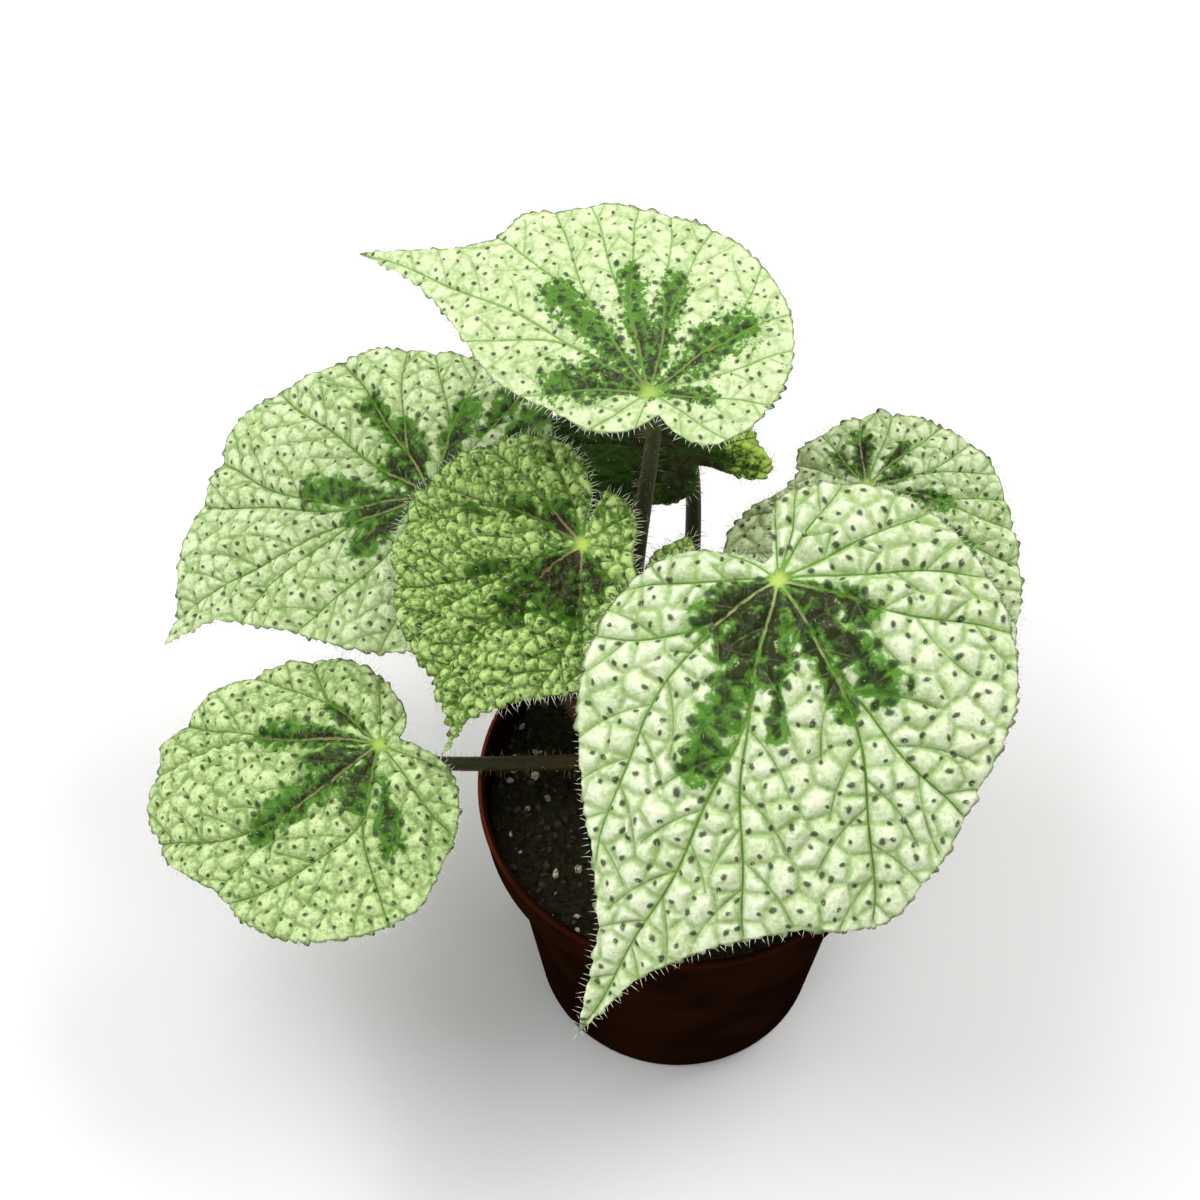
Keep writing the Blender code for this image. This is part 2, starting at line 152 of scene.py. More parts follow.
LEAVES = (
    Leaf(
        name="front",
        junction=(18.7, 10.3, 153),
        heading=-119, pitch=18, roll=0,
        rise=(5, 5, 5, 5), droop=(28, 35, 30, 35), reach=75,
        margin=(
            (0, 112), (5, 95), (10, 87), (17, 81), (30, 77), (41, 79), (54, 72), (71, 63),
            (91, 57.5), (128, 42), (163, 30), (190, 23), (209, 18), (218, 6), (246, 5), (263, 12),
            (286, 28), (308, 41), (325, 50.5), (339, 60.5), (353, 76.5), (358, 89), (360, 112),
        ),
        foot=(300, 55), handles=(30, 25), stalk_radius=2.2,
        veins=(
            (14, 28, (0, 20)), (57, 25, (41, 64)), (331, 17, (352, 311)), (294, 14, (297,)),
            (100, 20, (104,)), (121, 18, (118,)), (142, 20, (142,)), (176, 16, (174,)),
            (192, 12, (196,)), (211, 8, (208,)), (262, 6, (268,)),
        ),
        dark=(
            (4, 7, 45, 4.8), (22, 3, 21, 4.6), (26, 25, 36, 2.2), (330, 3, 17, 5.2), (352, 4, 20, 4),
            (52, 6, 33, 2.8), (70, 6, 33, 5), (92, 4, 20, 3.8),
        ),
        cell=7.0, bulge=2.4, pleat=1.5, spot_gap=5.0, spot=0.64, net=1.0, silver=1.0, hairy=0.5, seed=1,
    ),
    Leaf(
        name="back",
        junction=(-9.2, 47.5, 172),
        heading=146, pitch=0, roll=-16,
        rise=(8, 0, 0, 0), droop=(22, 30, 30, 14), reach=75,
        margin=(
            (0, 84), (1, 68), (4, 57), (9, 49), (14, 43.5), (24, 35.5), (31, 29), (40, 22.5),
            (62, 16), (91, 10.5), (120, 7), (141, 6), (151, 11), (166, 18), (184, 22.5), (204, 27),
            (235, 35), (276, 43), (303, 48), (316, 52), (325, 53), (334, 57), (342, 56), (348, 59),
            (353, 65), (356, 72), (360, 84),
        ),
        foot=(124, 50), handles=(40, 25), stalk_radius=1.9,
        veins=(
            (356, 18, (0, 12)), (333, 20, (342, 327)), (316, 16, (318, 306)), (292, 15, (297, 284)),
            (250, 16, (264, 244)), (228, 12, (230,)), (205, 10, (205,)), (177, 7, (178,)),
            (28, 9, (30,)), (62, 6, (62,)), (100, 4, (100,)),
        ),
        dark=(
            (341, 3, 33, 3.8), (311, 5, 31, 2.9), (291, 4, 29, 2.9), (250, 3, 26, 4.2), (22, 4, 21, 3.8),
            (205, 3, 13, 2), (2, 3, 14, 3.2), (300, 2, 14, 4), (262, 12, 20, 2),
        ),
        cell=5.0, bulge=0.5, pleat=1.0, spot_gap=3.7, spot=0.44, net=0.35, silver=0.72, hairy=0.6, seed=2,
    ),
    Leaf(
        name="left",
        junction=(-60.9, 59.9, 118),
        heading=195, pitch=20, roll=-8,
        rise=(5, 0, 0, 0), droop=(25, 30, 25, 10), reach=70,
        margin=(
            (0, 82), (3, 64), (10, 55.5), (21, 47.5), (40, 42), (60, 39), (90, 36), (115, 25),
            (128, 8), (138, 6), (150, 16), (170, 28), (190, 34), (205, 36.5), (222, 37.3), (238, 38.8),
            (254, 41.5), (282, 50), (293, 53), (303, 58.5), (316, 64.5), (323, 65), (342, 71),
            (355, 77), (360, 82),
        ),
        foot=(160, 30), handles=(30, 25), stalk_radius=2.0,
        veins=(
            (351, 17, (356, 6)), (342, 18, (333, 323)), (306, 14, (302,)), (280, 14, (284, 264)),
            (240, 14, (254, 236)), (212, 12, (214,)), (185, 12, (186,)), (158, 8, (158,)),
            (30, 16, (20,)), (60, 14, (50,)), (90, 12, (86,)), (114, 8, (112,)),
        ),
        dark=(
            (347, 5, 18, 5), (331, 15, 33, 3.8), (275, 4, 22, 4), (284, 20, 33, 3.2), (232, 8, 25, 4),
            # The patches (214, 24, 37, 4.5) and (198, 24, 36, 5), out by the margin, are painted shadow
            # that the back leaf casts on this leaf.
            (12, 8, 21, 3.4), (300, 3, 14, 4), (214, 24, 37, 4.5), (198, 24, 36, 5),
        ),
        cell=5.2, bulge=1.5, pleat=2.9, spot_gap=4.2, spot=0.5, net=0.8, silver=0.72, hairy=0.6, seed=3,
    ),
    Leaf(
        name="centre",
        junction=(-24.1, 29.3, 140),
        heading=-134, pitch=22, roll=0,
        rise=(5, 5, 0, 5), droop=(40, 30, 25, 30), reach=60,
        margin=(
            (0, 61), (3, 48), (9, 43.5), (15, 39), (23, 36.5), (41, 33.5), (52, 28), (65, 22),
            (90, 17), (120, 12), (140, 12.8), (169, 14), (198, 14), (206, 6), (213, 13), (228, 24.5),
            (240, 30.5), (254, 35), (277, 43.5), (286, 47.5), (296, 49), (319, 50), (328, 50),
            (340, 48.5), (351, 50), (357, 54), (360, 61),
        ),
        foot=(185, 68), handles=(25, 20), stalk_radius=1.7,
        veins=(
            (344, 22, (359, 345)), (324, 18, (331, 315)), (279, 20, (284, 296)), (258, 12, (262,)),
            (236, 9, (240,)), (214, 6, (214,)), (41, 11, (20, 40)), (75, 6, (76,)),
            (120, 5, (120,)), (165, 6, (165,)),
        ),
        dark=(
            (350, 3, 21, 4.6), (30, 4, 16, 3.6), (10, 4, 15, 4), (262, 3, 10, 3.4), (276, 12, 21, 1.8),
            (288, 25, 32, 1.5), (319, 17, 28, 1.7), (60, 4, 12, 2.2),
        ),
        cell=3.6, bulge=2.9, pleat=3.6, spot_gap=3.3, spot=0.46, net=1.0, silver=0.15, hairy=1.6, seed=4,
    ),
    Leaf(
        name="low_left",
        junction=(-72.1, 2.4, 97),
        heading=186, pitch=4, roll=0,
        rise=(5, 5, 0, 5), droop=(40, 40, 25, 25), reach=60,
        margin=(
            (0, 62), (10, 60.5), (17, 59), (25, 55), (33, 52.5), (48, 52.5), (58, 51.5), (71, 49),
            (90, 44.5), (99, 42), (105, 38), (132, 26), (153, 18), (168, 10), (192, 5), (215, 8),
            (234, 11), (250, 14), (273, 21.5), (299, 32), (313, 39), (323, 45.5), (331, 51.5),
            (339, 56.5), (347, 61), (360, 62),
        ),
        foot=(205, 40), handles=(13, 12), stalk_radius=1.7,
        veins=(
            (31, 28, (10, 33)), (343, 27, (350, 337)), (310, 16, (318, 300)), (268, 7, (266,)),
            (74, 19, (38, 88)), (120, 14, (122,)), (150, 9, (152,)), (235, 5, (235,)),
        ),
        dark=(
            (30, 3, 33, 4.6), (343, 5, 29, 3.6), (92, 12, 27, 3), (62, 4, 16, 3.6), (8, 6, 17, 2.6),
            (312, 5, 16, 2.2),
        ),
        # silver=0.52 is partly the leaf's greener skin and partly painted shade: the blade is painted
        # darker because it rolls down and lies low under the others.
        cell=5.2, bulge=1.8, pleat=3.0, spot_gap=3.8, spot=0.5, net=0.7, silver=0.52, hairy=0.6, seed=5,
    ),
    Leaf(
        name="right",
        junction=(44.3, 62.1, 119),
        heading=-70, pitch=14, roll=7,
        rise=(5, 0, 0, 0), droop=(30, 25, 15, 20), reach=60,
        margin=(
            (0, 72), (5, 64), (14, 57), (26, 51), (39, 44), (62, 36), (83, 33), (99, 29),
            (117, 25), (135, 22), (150, 21), (163, 19), (180, 18), (205, 18), (221, 19), (236, 17),
            (249, 20), (264, 33), (275, 38), (295, 44), (320, 52), (345, 60), (355, 66), (360, 72),
        ),
        foot=(0, 30), handles=(25, 20), stalk_radius=1.8,
        veins=(
            (6, 18, (0, 14)), (38, 16, (28, 44)), (62, 14, (56, 68)), (86, 12, (80, 96)),
            (114, 10, (112,)), (140, 8, (140,)), (163, 8, (163,)), (196, 8, (196,)), (228, 7, (228,)),
            (262, 9, (262,)), (298, 14, (286, 306)), (335, 16, (328, 345)),
        ),
        dark=(
            (165, 2, 12, 3), (200, 4, 11, 1.6), (118, 6, 15, 1.6), (60, 8, 20, 2.4), (40, 18, 28, 2.2),
            (26, 26, 38, 1.8), (92, 4, 10, 2),
        ),
        cell=4.6, bulge=1.3, pleat=2.4, spot_gap=3.6, spot=0.44, net=0.8, silver=0.8, hairy=0.7, seed=6,
    ),
    Leaf(
        name="shaded",
        junction=(1.3, 68, 125),
        heading=165, pitch=8, roll=-5,
        rise=(5, 0, 5, 0), droop=(30, 30, 20, 20), reach=45,
        margin=(
            (0, 48), (6, 42), (20, 38), (34, 34), (50, 24), (62, 19), (75, 15.5), (90, 14),
            (100, 12.8), (110, 11.5), (118, 8), (134, 5), (150, 7.5), (156, 12), (161, 17),
            (168, 20.5), (180, 21), (188, 19), (200, 16.5), (215, 16.5), (230, 21), (245, 27),
            (270, 32), (300, 36), (330, 38), (352, 42), (360, 48),
        ),
        foot=(80, 20), handles=(25, 20), stalk_radius=2.0,
        veins=(
            (0, 14, (0,)), (335, 12, (342, 326)), (300, 10, (308, 290)), (262, 9, (268,)),
            (235, 8, (236,)), (205, 7, (205,)), (172, 6, (172,)), (30, 10, (24, 42)), (72, 7, (72,)),
        ),
        # The dark patches on this leaf are painted shade: the leaves above shade all of it but its right
        # lobe.
        dark=((345, 8, 44, 25), (40, 4, 30, 11), (85, 2, 13, 7), (155, 2, 8, 4)),
        cell=3.8, bulge=0.8, pleat=1.4, spot_gap=3.4, spot=0.4, net=0.95, silver=0.0, hairy=0.7, seed=7,
        old_in_shade=True,
    ),
    Leaf(
        name="young",
        junction=(-6.8, 25.2, 118.5),
        heading=68, pitch=-8, roll=0,
        rise=(20, 30, 20, 30), droop=(30, 10, 10, 10), reach=20,
        margin=(
            (0, 22), (10, 18.5), (20, 16), (32, 12), (45, 9), (60, 7.5), (90, 6.5), (140, 6),
            (170, 5), (180, 3), (190, 5), (220, 8), (270, 10), (315, 13), (345, 16.5), (360, 22),
        ),
        foot=(20, 70), handles=(15, 8), stalk_radius=1.0,
        veins=((0, 8, (0,)), (40, 5, (40,)), (90, 4, (90,)), (270, 4, (270,)), (320, 5, (320,))),
        dark=(),
        cell=2.4, bulge=0.5, pleat=0.8, spot_gap=2.6, spot=0.26, net=0.8, silver=0.0, hairy=1.6, seed=8,
    ),
)


# Meshes


def piece(name, points, faces, surface, replaced=None, smooth=True):
    """Makes a piece of the object from points in mm, and ties it to the frame."""
    mesh = bpy.data.meshes.new(name)
    mesh.from_pydata([tuple(p) for p in np.asarray(points) * MM], [], [tuple(f) for f in faces])
    if smooth:
        mesh.shade_smooth()
    mesh.materials.append(surface)
    obj = bpy.data.objects.new(name, mesh)
    bpy.context.scene.collection.objects.link(obj)
    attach(obj, BODY)
    if replaced:
        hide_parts(replaced)
    return obj


def store(obj, name, values):
    """Stores one number for each vertex."""
    layer = obj.data.attributes.new(name, "FLOAT", "POINT")
    layer.data.foreach_set("value", np.asarray(values, np.float32))


def unit(vectors):
    """The vectors at length 1."""
    return vectors / np.maximum(np.linalg.norm(vectors, axis=-1, keepdims=True), 1e-9)


def left_of(ways):
    """Flat ways turned a quarter turn to the left."""
    return np.stack([-ways[:, 1], ways[:, 0]], 1)


def direction(angle):
    """The flat way that an angle in degrees points."""
    return np.array([math.cos(math.radians(angle)), math.sin(math.radians(angle))])


def walked_along(path):
    """How far along a path each of its points is."""
    return np.concatenate([[0], np.cumsum(np.linalg.norm(np.diff(path, axis=0), axis=1))])


def points_at(path, walked, places):
    """The points at distances along a flat path."""
    return np.stack([np.interp(places, walked, path[:, axis]) for axis in (0, 1)], -1)


def tree_of(points):
    """A search tree of points with two or three coordinates."""
    tree = KDTree(len(points))
    for index, point in enumerate(points):
        tree.insert((*point, 0.0) if len(point) == 2 else point, index)
    tree.balance()
    return tree


def nearest(tree, points, count=1):
    """Indices of and distances to the nearest points of a tree."""
    found = [tree.find_n((x, y, 0.0), count) for x, y in points]
    index = np.array([[hit[1] for hit in hits] for hits in found])
    distance = np.array([[hit[2] for hit in hits] for hits in found])
    return index, distance


def how_far(tree, points):
    """Distances to the nearest point of a tree."""
    return nearest(tree, points)[1][:, 0]


def grid(reach, spacing):
    """Points of a triangular grid over a square that reaches this far each way from the middle."""
    rows = np.arange(-reach, reach, spacing * math.sqrt(3) / 2)
    columns = np.arange(-reach, reach, spacing)
    x, y = np.meshgrid(columns, rows)
    x = x + (np.arange(len(rows)) % 2)[:, None] * spacing / 2
    return np.stack([x.ravel(), y.ravel()], axis=1)


# The flat leaf


class Outline:
    """The margin of a leaf as a smooth curve round its junction."""

    def __init__(self, margin):
        self.angles = np.radians(np.arange(0, 360 * 4 + 1) / 4)
        knots = np.radians([angle for angle, _ in margin])
        lengths = np.array([length for _, length in margin], float)
        chords = np.diff(lengths) / np.diff(knots)
        before, after = chords[:-1], chords[1:]
        with np.errstate(divide="ignore", invalid="ignore"):
            inner = np.where(before * after <= 0, 0.0, 2 * before * after / (before + after))
        slopes = np.concatenate([chords[:1], inner, chords[-1:]])
        span = np.clip(np.searchsorted(knots, self.angles, side="right") - 1, 0, len(chords) - 1)
        width = np.diff(knots)[span]
        t = (self.angles - knots[span]) / width
        self.lengths = (
            lengths[span] * (1 + 2 * t) * (1 - t) ** 2
            + lengths[span + 1] * t * t * (3 - 2 * t)
            + width * t * (1 - t) * (slopes[span] * (1 - t) - slopes[span + 1] * t)
        )

    def length(self, angle):
        """From the junction to the margin at an angle in radians."""
        return np.interp(np.mod(angle, math.tau), self.angles, self.lengths)

    def inside(self, points, inset):
        """How far the points lie inside the margin along their rays, less the inset."""
        angle = np.arctan2(points[:, 1], points[:, 0])
        return self.length(angle) - np.hypot(points[:, 0], points[:, 1]) - inset

    def walk(self, spacing):
        """Points at even steps along the margin, the way outwards there and how far along they are."""
        ends = np.stack([np.cos(self.angles), np.sin(self.angles)], 1) * self.lengths[:, None]
        walked = walked_along(ends)
        along = np.linspace(0, walked[-1], int(walked[-1] / spacing), endpoint=False)
        points = points_at(ends, walked, along)
        run = unit(np.roll(points, -1, axis=0) - np.roll(points, 1, axis=0))
        return points, -left_of(run), along

    def filled(self, spacing, inset):
        """Points of an even grid inside the margin, less the inset."""
        points = grid(self.lengths.max(), spacing)
        return points[self.inside(points, inset) > 0]


def toothed_margin(leaf, outline, rng):
    """The margin with shallow scallops and fine teeth, which fade near the junction."""
    points, outward, along = outline.walk(VEIN_SPACING)
    tooth_length = 2.4 + 0.15 * leaf.cell
    peak = 0.75  # where a tooth is highest, as a share of its length
    phase = along / tooth_length + 0.4 * np.sin(along / 7.3) + 0.25 * np.sin(along / 3.1 + leaf.seed)
    saw = np.abs(np.mod(phase, 1.0) - peak) / peak
    sizes = rng.uniform(0.15, 1.3, int(phase.max()) + 3)
    size = sizes[np.floor(phase).astype(int) + 1]
    scallop = 0.5 + 0.5 * np.sin(along / 2.1 + np.sin(along / 9.0) * 2)
    reach = np.linalg.norm(points, axis=1)
    fade = np.clip((reach - 8) / 10, 0.1, 1)
    fade *= np.clip(np.minimum(along, along[-1] - along) / 6, 0, 1)
    push = (np.clip(1 - saw, 0, 1) * size * 0.9 + scallop * 0.3 - 0.45) * fade
    return points + outward * push[:, None]


def wandering(path, phase):
    """The path with a slight wander, as a hand would draw it."""
    walked = walked_along(path)
    sway = 0.5 * np.sin(walked / 5.5 + phase) * np.minimum(walked / 12, 1)
    sway *= np.minimum((walked[-1] - walked) / 6, 1)
    return path + left_of(unit(np.gradient(path, axis=0))) * sway[:, None]


def main_veins(leaf, outline):
    """Polylines of the forked main veins, from the junction to the margin."""
    paths = []
    for angle, length, ends in leaf.veins:
        way = direction(angle)
        fork = way * length
        trunk = np.linspace(0, 1, max(2, int(length / VEIN_SPACING)))[:, None] * fork
        for number, end in enumerate(ends):
            tip = direction(end) * (outline.length(math.radians(end)) - 0.6)
            span = np.linalg.norm(tip - fork)
            lean = fork + (way * 0.6 + unit(tip - fork) * 0.4) * span * 0.45
            t = np.linspace(0, 1, max(3, int(span / VEIN_SPACING)))[1:, None]
            branch = (1 - t) ** 2 * fork + 2 * t * (1 - t) * lean + t * t * tip
            path = np.concatenate([trunk, branch]) if number == 0 else branch
            paths.append(wandering(path, angle))
    return paths


def side_vein(start, way, bend, outline, tree, owner, index, longest):
    """A curved polyline that stops at its longest, at the margin or half way to the next main vein."""
    at = start
    line = [at]
    while True:
        way += bend
        at = at + VEIN_SPACING * np.array([math.cos(way), math.sin(way)])
        found = tree.find((*at, 0.0))[1]
        near_margin = outline.length(math.atan2(at[1], at[0])) - math.hypot(*at) < 0.5
        past_half_way = owner[found] != index and len(line) > 1
        if near_margin or past_half_way or len(line) * VEIN_SPACING > longest:
            return np.array(line)
        line.append(at)


def side_veins(leaf, outline, mains, rng):
    """Polylines of the side veins: they leave each main vein by turns and stop half way to the next."""
    tree = tree_of(np.concatenate(mains))
    owner = np.concatenate([[index] * len(path) for index, path in enumerate(mains)])
    paths = []
    for index, path in enumerate(mains):
        walked = walked_along(path)
        place = max(leaf.cell * 1.6 - np.linalg.norm(path[0]), 0.8 * leaf.cell)
        side = 1 if index % 2 else -1
        while place < walked[-1] - 2:
            at, ahead = points_at(path, walked, np.array([place, place + 0.5]))
            way = math.atan2(*(ahead - at)[::-1]) + side * math.radians(48 + 10 * rng.random())
            line = side_vein(at, way, -side * 0.012, outline, tree, owner, index, SIDE_REACH * leaf.cell)
            if len(line) * VEIN_SPACING > 0.6 * leaf.cell:
                paths.append(line)
            side = -side
            place += leaf.cell * (0.85 + 0.3 * rng.random())
    return paths


def scattered(outline, spacing, jitter, inset, rng):
    """Points of an uneven grid inside the margin."""
    points = grid(outline.lengths.max(), spacing)
    points = points + rng.uniform(-jitter, jitter, points.shape) * spacing
    return points[outline.inside(points, inset) > 0]


def clear_of_veins(points, tree, wanted):
    """Moves the points that are nearer than the wanted distance to a vein away from it."""
    moved = points.copy()
    for index, (x, y) in enumerate(points):
        near, _, distance = tree.find((x, y, 0.0))
        if distance < wanted:
            away = unit(np.array([x - near[0], y - near[1]]) + 1e-6)
            moved[index] = np.array(near[:2]) + away * wanted
    return moved


def cell_centres(leaf, outline, veins, rng):
    """Centres of the puckers: pairs astride the veins, so that puckers meet along them, then the rest."""
    centres = np.full((1, 2), 1e6)

    def add(point, least):
        nonlocal centres
        if np.min(np.hypot(*(centres - point).T)) > least * leaf.cell:
            centres = np.concatenate([centres, [point]])

    step = max(1, round(0.85 * leaf.cell / VEIN_SPACING))
    for path in veins:
        across = left_of(unit(np.gradient(path, axis=0))) * leaf.cell * 0.4
        for index in range(step // 2, len(path), step):
            for side in (-1, 1):
                add(path[index] + across[index] * side, 0.62)
    rest = scattered(outline, leaf.cell * 0.4, 0.5, -leaf.cell, rng)
    for point in rng.permutation(rest):
        add(point, 0.8)
    return centres[1:]


class Veined:
    """The markings and puckers of a flat leaf, which any of its points can be asked for."""

    def __init__(self, leaf):
        self.leaf = leaf
        rng = np.random.default_rng(leaf.seed)
        self.outline = Outline(leaf.margin)
        self.mains = main_veins(leaf, self.outline)
        self.sides = side_veins(leaf, self.outline, self.mains, rng)
        self.margin = toothed_margin(leaf, self.outline, rng)
        self.main_tree = tree_of(np.concatenate(self.mains))
        self.side_tree = tree_of(np.concatenate(self.sides))
        both = tree_of(np.concatenate(self.mains + self.sides))
        self.seeds = cell_centres(leaf, self.outline, self.mains + self.sides, rng)
        self.seed_tree = tree_of(self.seeds)
        self.cell_height = rng.uniform(0.55, 1.2, len(self.seeds))
        self.cell_tilt = rng.normal(0, 0.16, (len(self.seeds), 2))
        self.cell_tone = rng.random(len(self.seeds))
        spots = scattered(self.outline, leaf.spot_gap, 0.3, 1.2, rng)
        spots = clear_of_veins(spots, both, leaf.spot * 1.6)
        self.spots = spots[np.linalg.norm(spots, axis=1) > HUB]
        self.spot_tree = tree_of(self.spots)
        self.spot_size = rng.uniform(0.7, 1.25, len(self.spots))
        self.spot_turn = rng.uniform(0, math.tau, len(self.spots))

    def read(self, points):
        """What the material shows of the points, by name, and the heights of puckers and arch there."""
        leaf = self.leaf
        main = how_far(self.main_tree, points)
        side = how_far(self.side_tree, points)
        pair, distance = nearest(self.seed_tree, points, 2)
        first, second = self.seeds[pair[:, 0]], self.seeds[pair[:, 1]]
        # The edge of a pucker is half way between its centre and the next one's.
        between = np.maximum(np.linalg.norm(first - second, axis=1), 0.1)
        edge = (distance[:, 1] ** 2 - distance[:, 0] ** 2) / (2 * between)
        rim = np.maximum(self.outline.inside(points, 0), 0)
        out = np.linalg.norm(points, axis=1)
        valley = np.minimum(np.minimum(edge, side), main)
        round_off = leaf.cell * 0.46
        pillow = 1 - (1 - np.minimum(valley / round_off, 1)) ** 2
        tilt = np.einsum("ij,ij->i", points - first, self.cell_tilt[pair[:, 0]])
        # Puckers are lower near the margin and the junction, and the blade arches between its veins.
        fade = (0.35 + 0.65 * (1 - np.exp(-rim / 4))) * np.clip(out / 9, 0.15, 1)
        height = (leaf.bulge * self.cell_height[pair[:, 0]] + tilt) * pillow * fade
        arch = leaf.pleat * (1 - np.exp(-main / 5)) * np.clip(out / 25, 0, 1)
        arch += 0.4 * leaf.bulge * (1 - np.exp(-np.minimum(side, main) / 2.5)) * fade
        arch -= (0.6 * leaf.pleat + 0.25 * leaf.bulge) * np.clip((out - 3) / 20, 0, 1)
        # Spots are ovals, each turned its own way.
        spot, spot_far = nearest(self.spot_tree, points)
        spot = spot[:, 0]
        offset = (points - self.spots[spot]) / self.spot_size[spot, None]
        turn = self.spot_turn[spot]
        along = offset[:, 0] * np.cos(turn) + offset[:, 1] * np.sin(turn)
        across = offset[:, 1] * np.cos(turn) - offset[:, 0] * np.sin(turn)
        fields = {
            "main": main, "side": side, "edge": edge, "rim": rim, "out": out, "bulge": pillow,
            "tone": self.cell_tone[pair[:, 0]], "spot_x": along * 0.8, "spot_y": across * 1.15,
            "spot_far": spot_far[:, 0] / self.spot_size[spot], "dark": self.darkness(points),
        }
        return fields, height, arch

    def darkness(self, points):
        """1 in the middle of the dark patches, falling to 0 and below outside them."""
        shade = np.full(len(points), -1.0)
        for angle, start, end, half_width in self.leaf.dark:
            way = direction(angle)
            along = points @ way
            across = np.abs(points @ np.array([-way[1], way[0]]))
            t = (along - start) / (end - start)
            width = half_width * np.clip(0.35 + 1.3 * t, 0.3, 1.0)
            beyond = np.maximum(np.maximum(start - along, along - end), 0)
            shade = np.maximum(shade, 1 - np.hypot(across / width, beyond / half_width))
        return shade


# The bent leaf


def around(values, angle):
    """The value at an angle, between those for the tip, left side, back and right side."""
    tip, left, back, right = values
    along, across = np.cos(angle), np.sin(angle)
    return np.where(along > 0, tip, back) * along**2 + np.where(across > 0, left, right) * across**2


def bent(leaf, flat):
    """Points of the bent blade before puckering, from flat ones, in the leaf's own axes."""
    angle = np.arctan2(flat[:, 1], flat[:, 0])
    length = np.hypot(flat[:, 0], flat[:, 1])
    rise = np.radians(around(leaf.rise, angle))
    turn = np.radians(around(leaf.droop, angle)) / leaf.reach
    slope = rise - turn * length
    out = (np.sin(rise) - np.sin(slope)) / turn
    up = (np.cos(slope) - np.cos(rise)) / turn
    return np.stack([out * np.cos(angle), out * np.sin(angle), up], 1)


def bent_normals(leaf, flat):
    """Normals of the bent blade, out of its upper face."""
    step = 0.05
    here = bent(leaf, flat)
    along = bent(leaf, flat + [step, 0]) - here
    across = bent(leaf, flat + [0, step]) - here
    return unit(np.cross(along, across))


def lifted(leaf, flat, lift):
    """Points of the bent blade, moved along its normals."""
    return bent(leaf, flat) + bent_normals(leaf, flat) * lift[:, None]


def rotation_of(leaf):
    """The matrix from the leaf's own axes to the part's."""
    turn = Euler((math.radians(leaf.roll), math.radians(leaf.pitch), math.radians(leaf.heading)))
    return np.array(turn.to_matrix())


def placed(leaf, points):
    """Points in the leaf's own axes as points of the part's frame, in mm."""
    return points @ rotation_of(leaf).T + np.array(leaf.junction)


def triangulated(margin, inner):
    """Flat triangles that fill the margin, as (points, faces, index of each margin point)."""
    loop = list(range(len(margin)))
    edges = list(zip(loop, loop[1:] + loop[:1]))
    flat = [Vector(p) for p in margin] + [Vector(p) for p in inner]
    points, _, faces, came_from, _, _ = delaunay_2d_cdt(flat, edges, [], 1, 1e-6)
    index = {}
    for out, sources in enumerate(came_from):
        for source in sources:
            index[source] = out
    return np.array([tuple(p) for p in points]), faces, [index[i] for i in loop]


def upper_points(veined):
    """Points inside the upper face: a row along each vein and an even grid that keeps clear of them."""
    veins = np.concatenate([np.zeros((1, 2)), *veined.mains, *veined.sides])
    veins = veins[veined.outline.inside(veins, 0.45) > 0]
    cells = np.round(veins / VEIN_SPACING * 1.1).astype(int)
    veins = veins[np.sort(np.unique(cells, axis=0, return_index=True)[1])]
    fine = veined.outline.filled(TOP_SPACING, 0.4)
    return np.concatenate([veins, fine[how_far(tree_of(veins), fine) > TOP_SPACING * 0.55]])


def make_blade(leaf, veined, surface):
    """A closed blade: a fine puckered upper face and a coarser underside that meet at the margin."""
    top, top_faces, top_rim = triangulated(veined.margin, upper_points(veined))
    coarse = veined.outline.filled(UNDER_SPACING, 0.9)
    under, under_faces, under_rim = triangulated(veined.margin, coarse)

    fields, height, arch = veined.read(top)
    low_fields, low_height, low_arch = veined.read(under)
    plate = PLATE * (1 - np.exp(-low_fields["rim"] / 0.7))
    sink = low_arch + np.minimum(low_height, leaf.bulge) * 0.3 - plate

    shared = dict(zip(under_rim, top_rim))
    fresh = [i for i in range(len(under)) if i not in shared]
    number = {old: len(top) + new for new, old in enumerate(fresh)}
    number.update(shared)
    bent_points = np.concatenate([lifted(leaf, top, height + arch), lifted(leaf, under, sink)[fresh]])
    points = placed(leaf, bent_points)
    faces = [tuple(f) for f in top_faces]
    faces += [tuple(number[i] for i in reversed(f)) for f in under_faces]
    obj = piece(f"leaf_{leaf.name}", points, faces, surface, f"blade_{leaf.name}")
    for name, values in fields.items():
        store(obj, name, np.concatenate([values, low_fields[name][fresh]]))
    store(obj, "upper", np.concatenate([np.ones(len(top)), np.zeros(len(fresh))]))
    flat = np.concatenate([top, under[fresh]])
    bake_map(obj, flat, len(top_faces), veined.outline.lengths.max())


def bake_map(obj, flat, upper_faces, reach):
    """A map for baking: the upper face in the left half and the underside in the right half."""
    layer = obj.data.uv_layers.new(name="OFBake")
    corners = np.empty(len(obj.data.loops), np.int32)
    obj.data.loops.foreach_get("vertex_index", corners)
    place = (flat[corners] / reach + 1) / 2
    place = place * 0.98 + 0.01
    upper = np.arange(len(corners)) < upper_faces * 3
    u = place[:, 0] / 2 + np.where(upper, 0.0, 0.5)
    layer.data.foreach_set("uv", np.stack([u, place[:, 1]], 1).ravel().astype(np.float32))


# Hairs


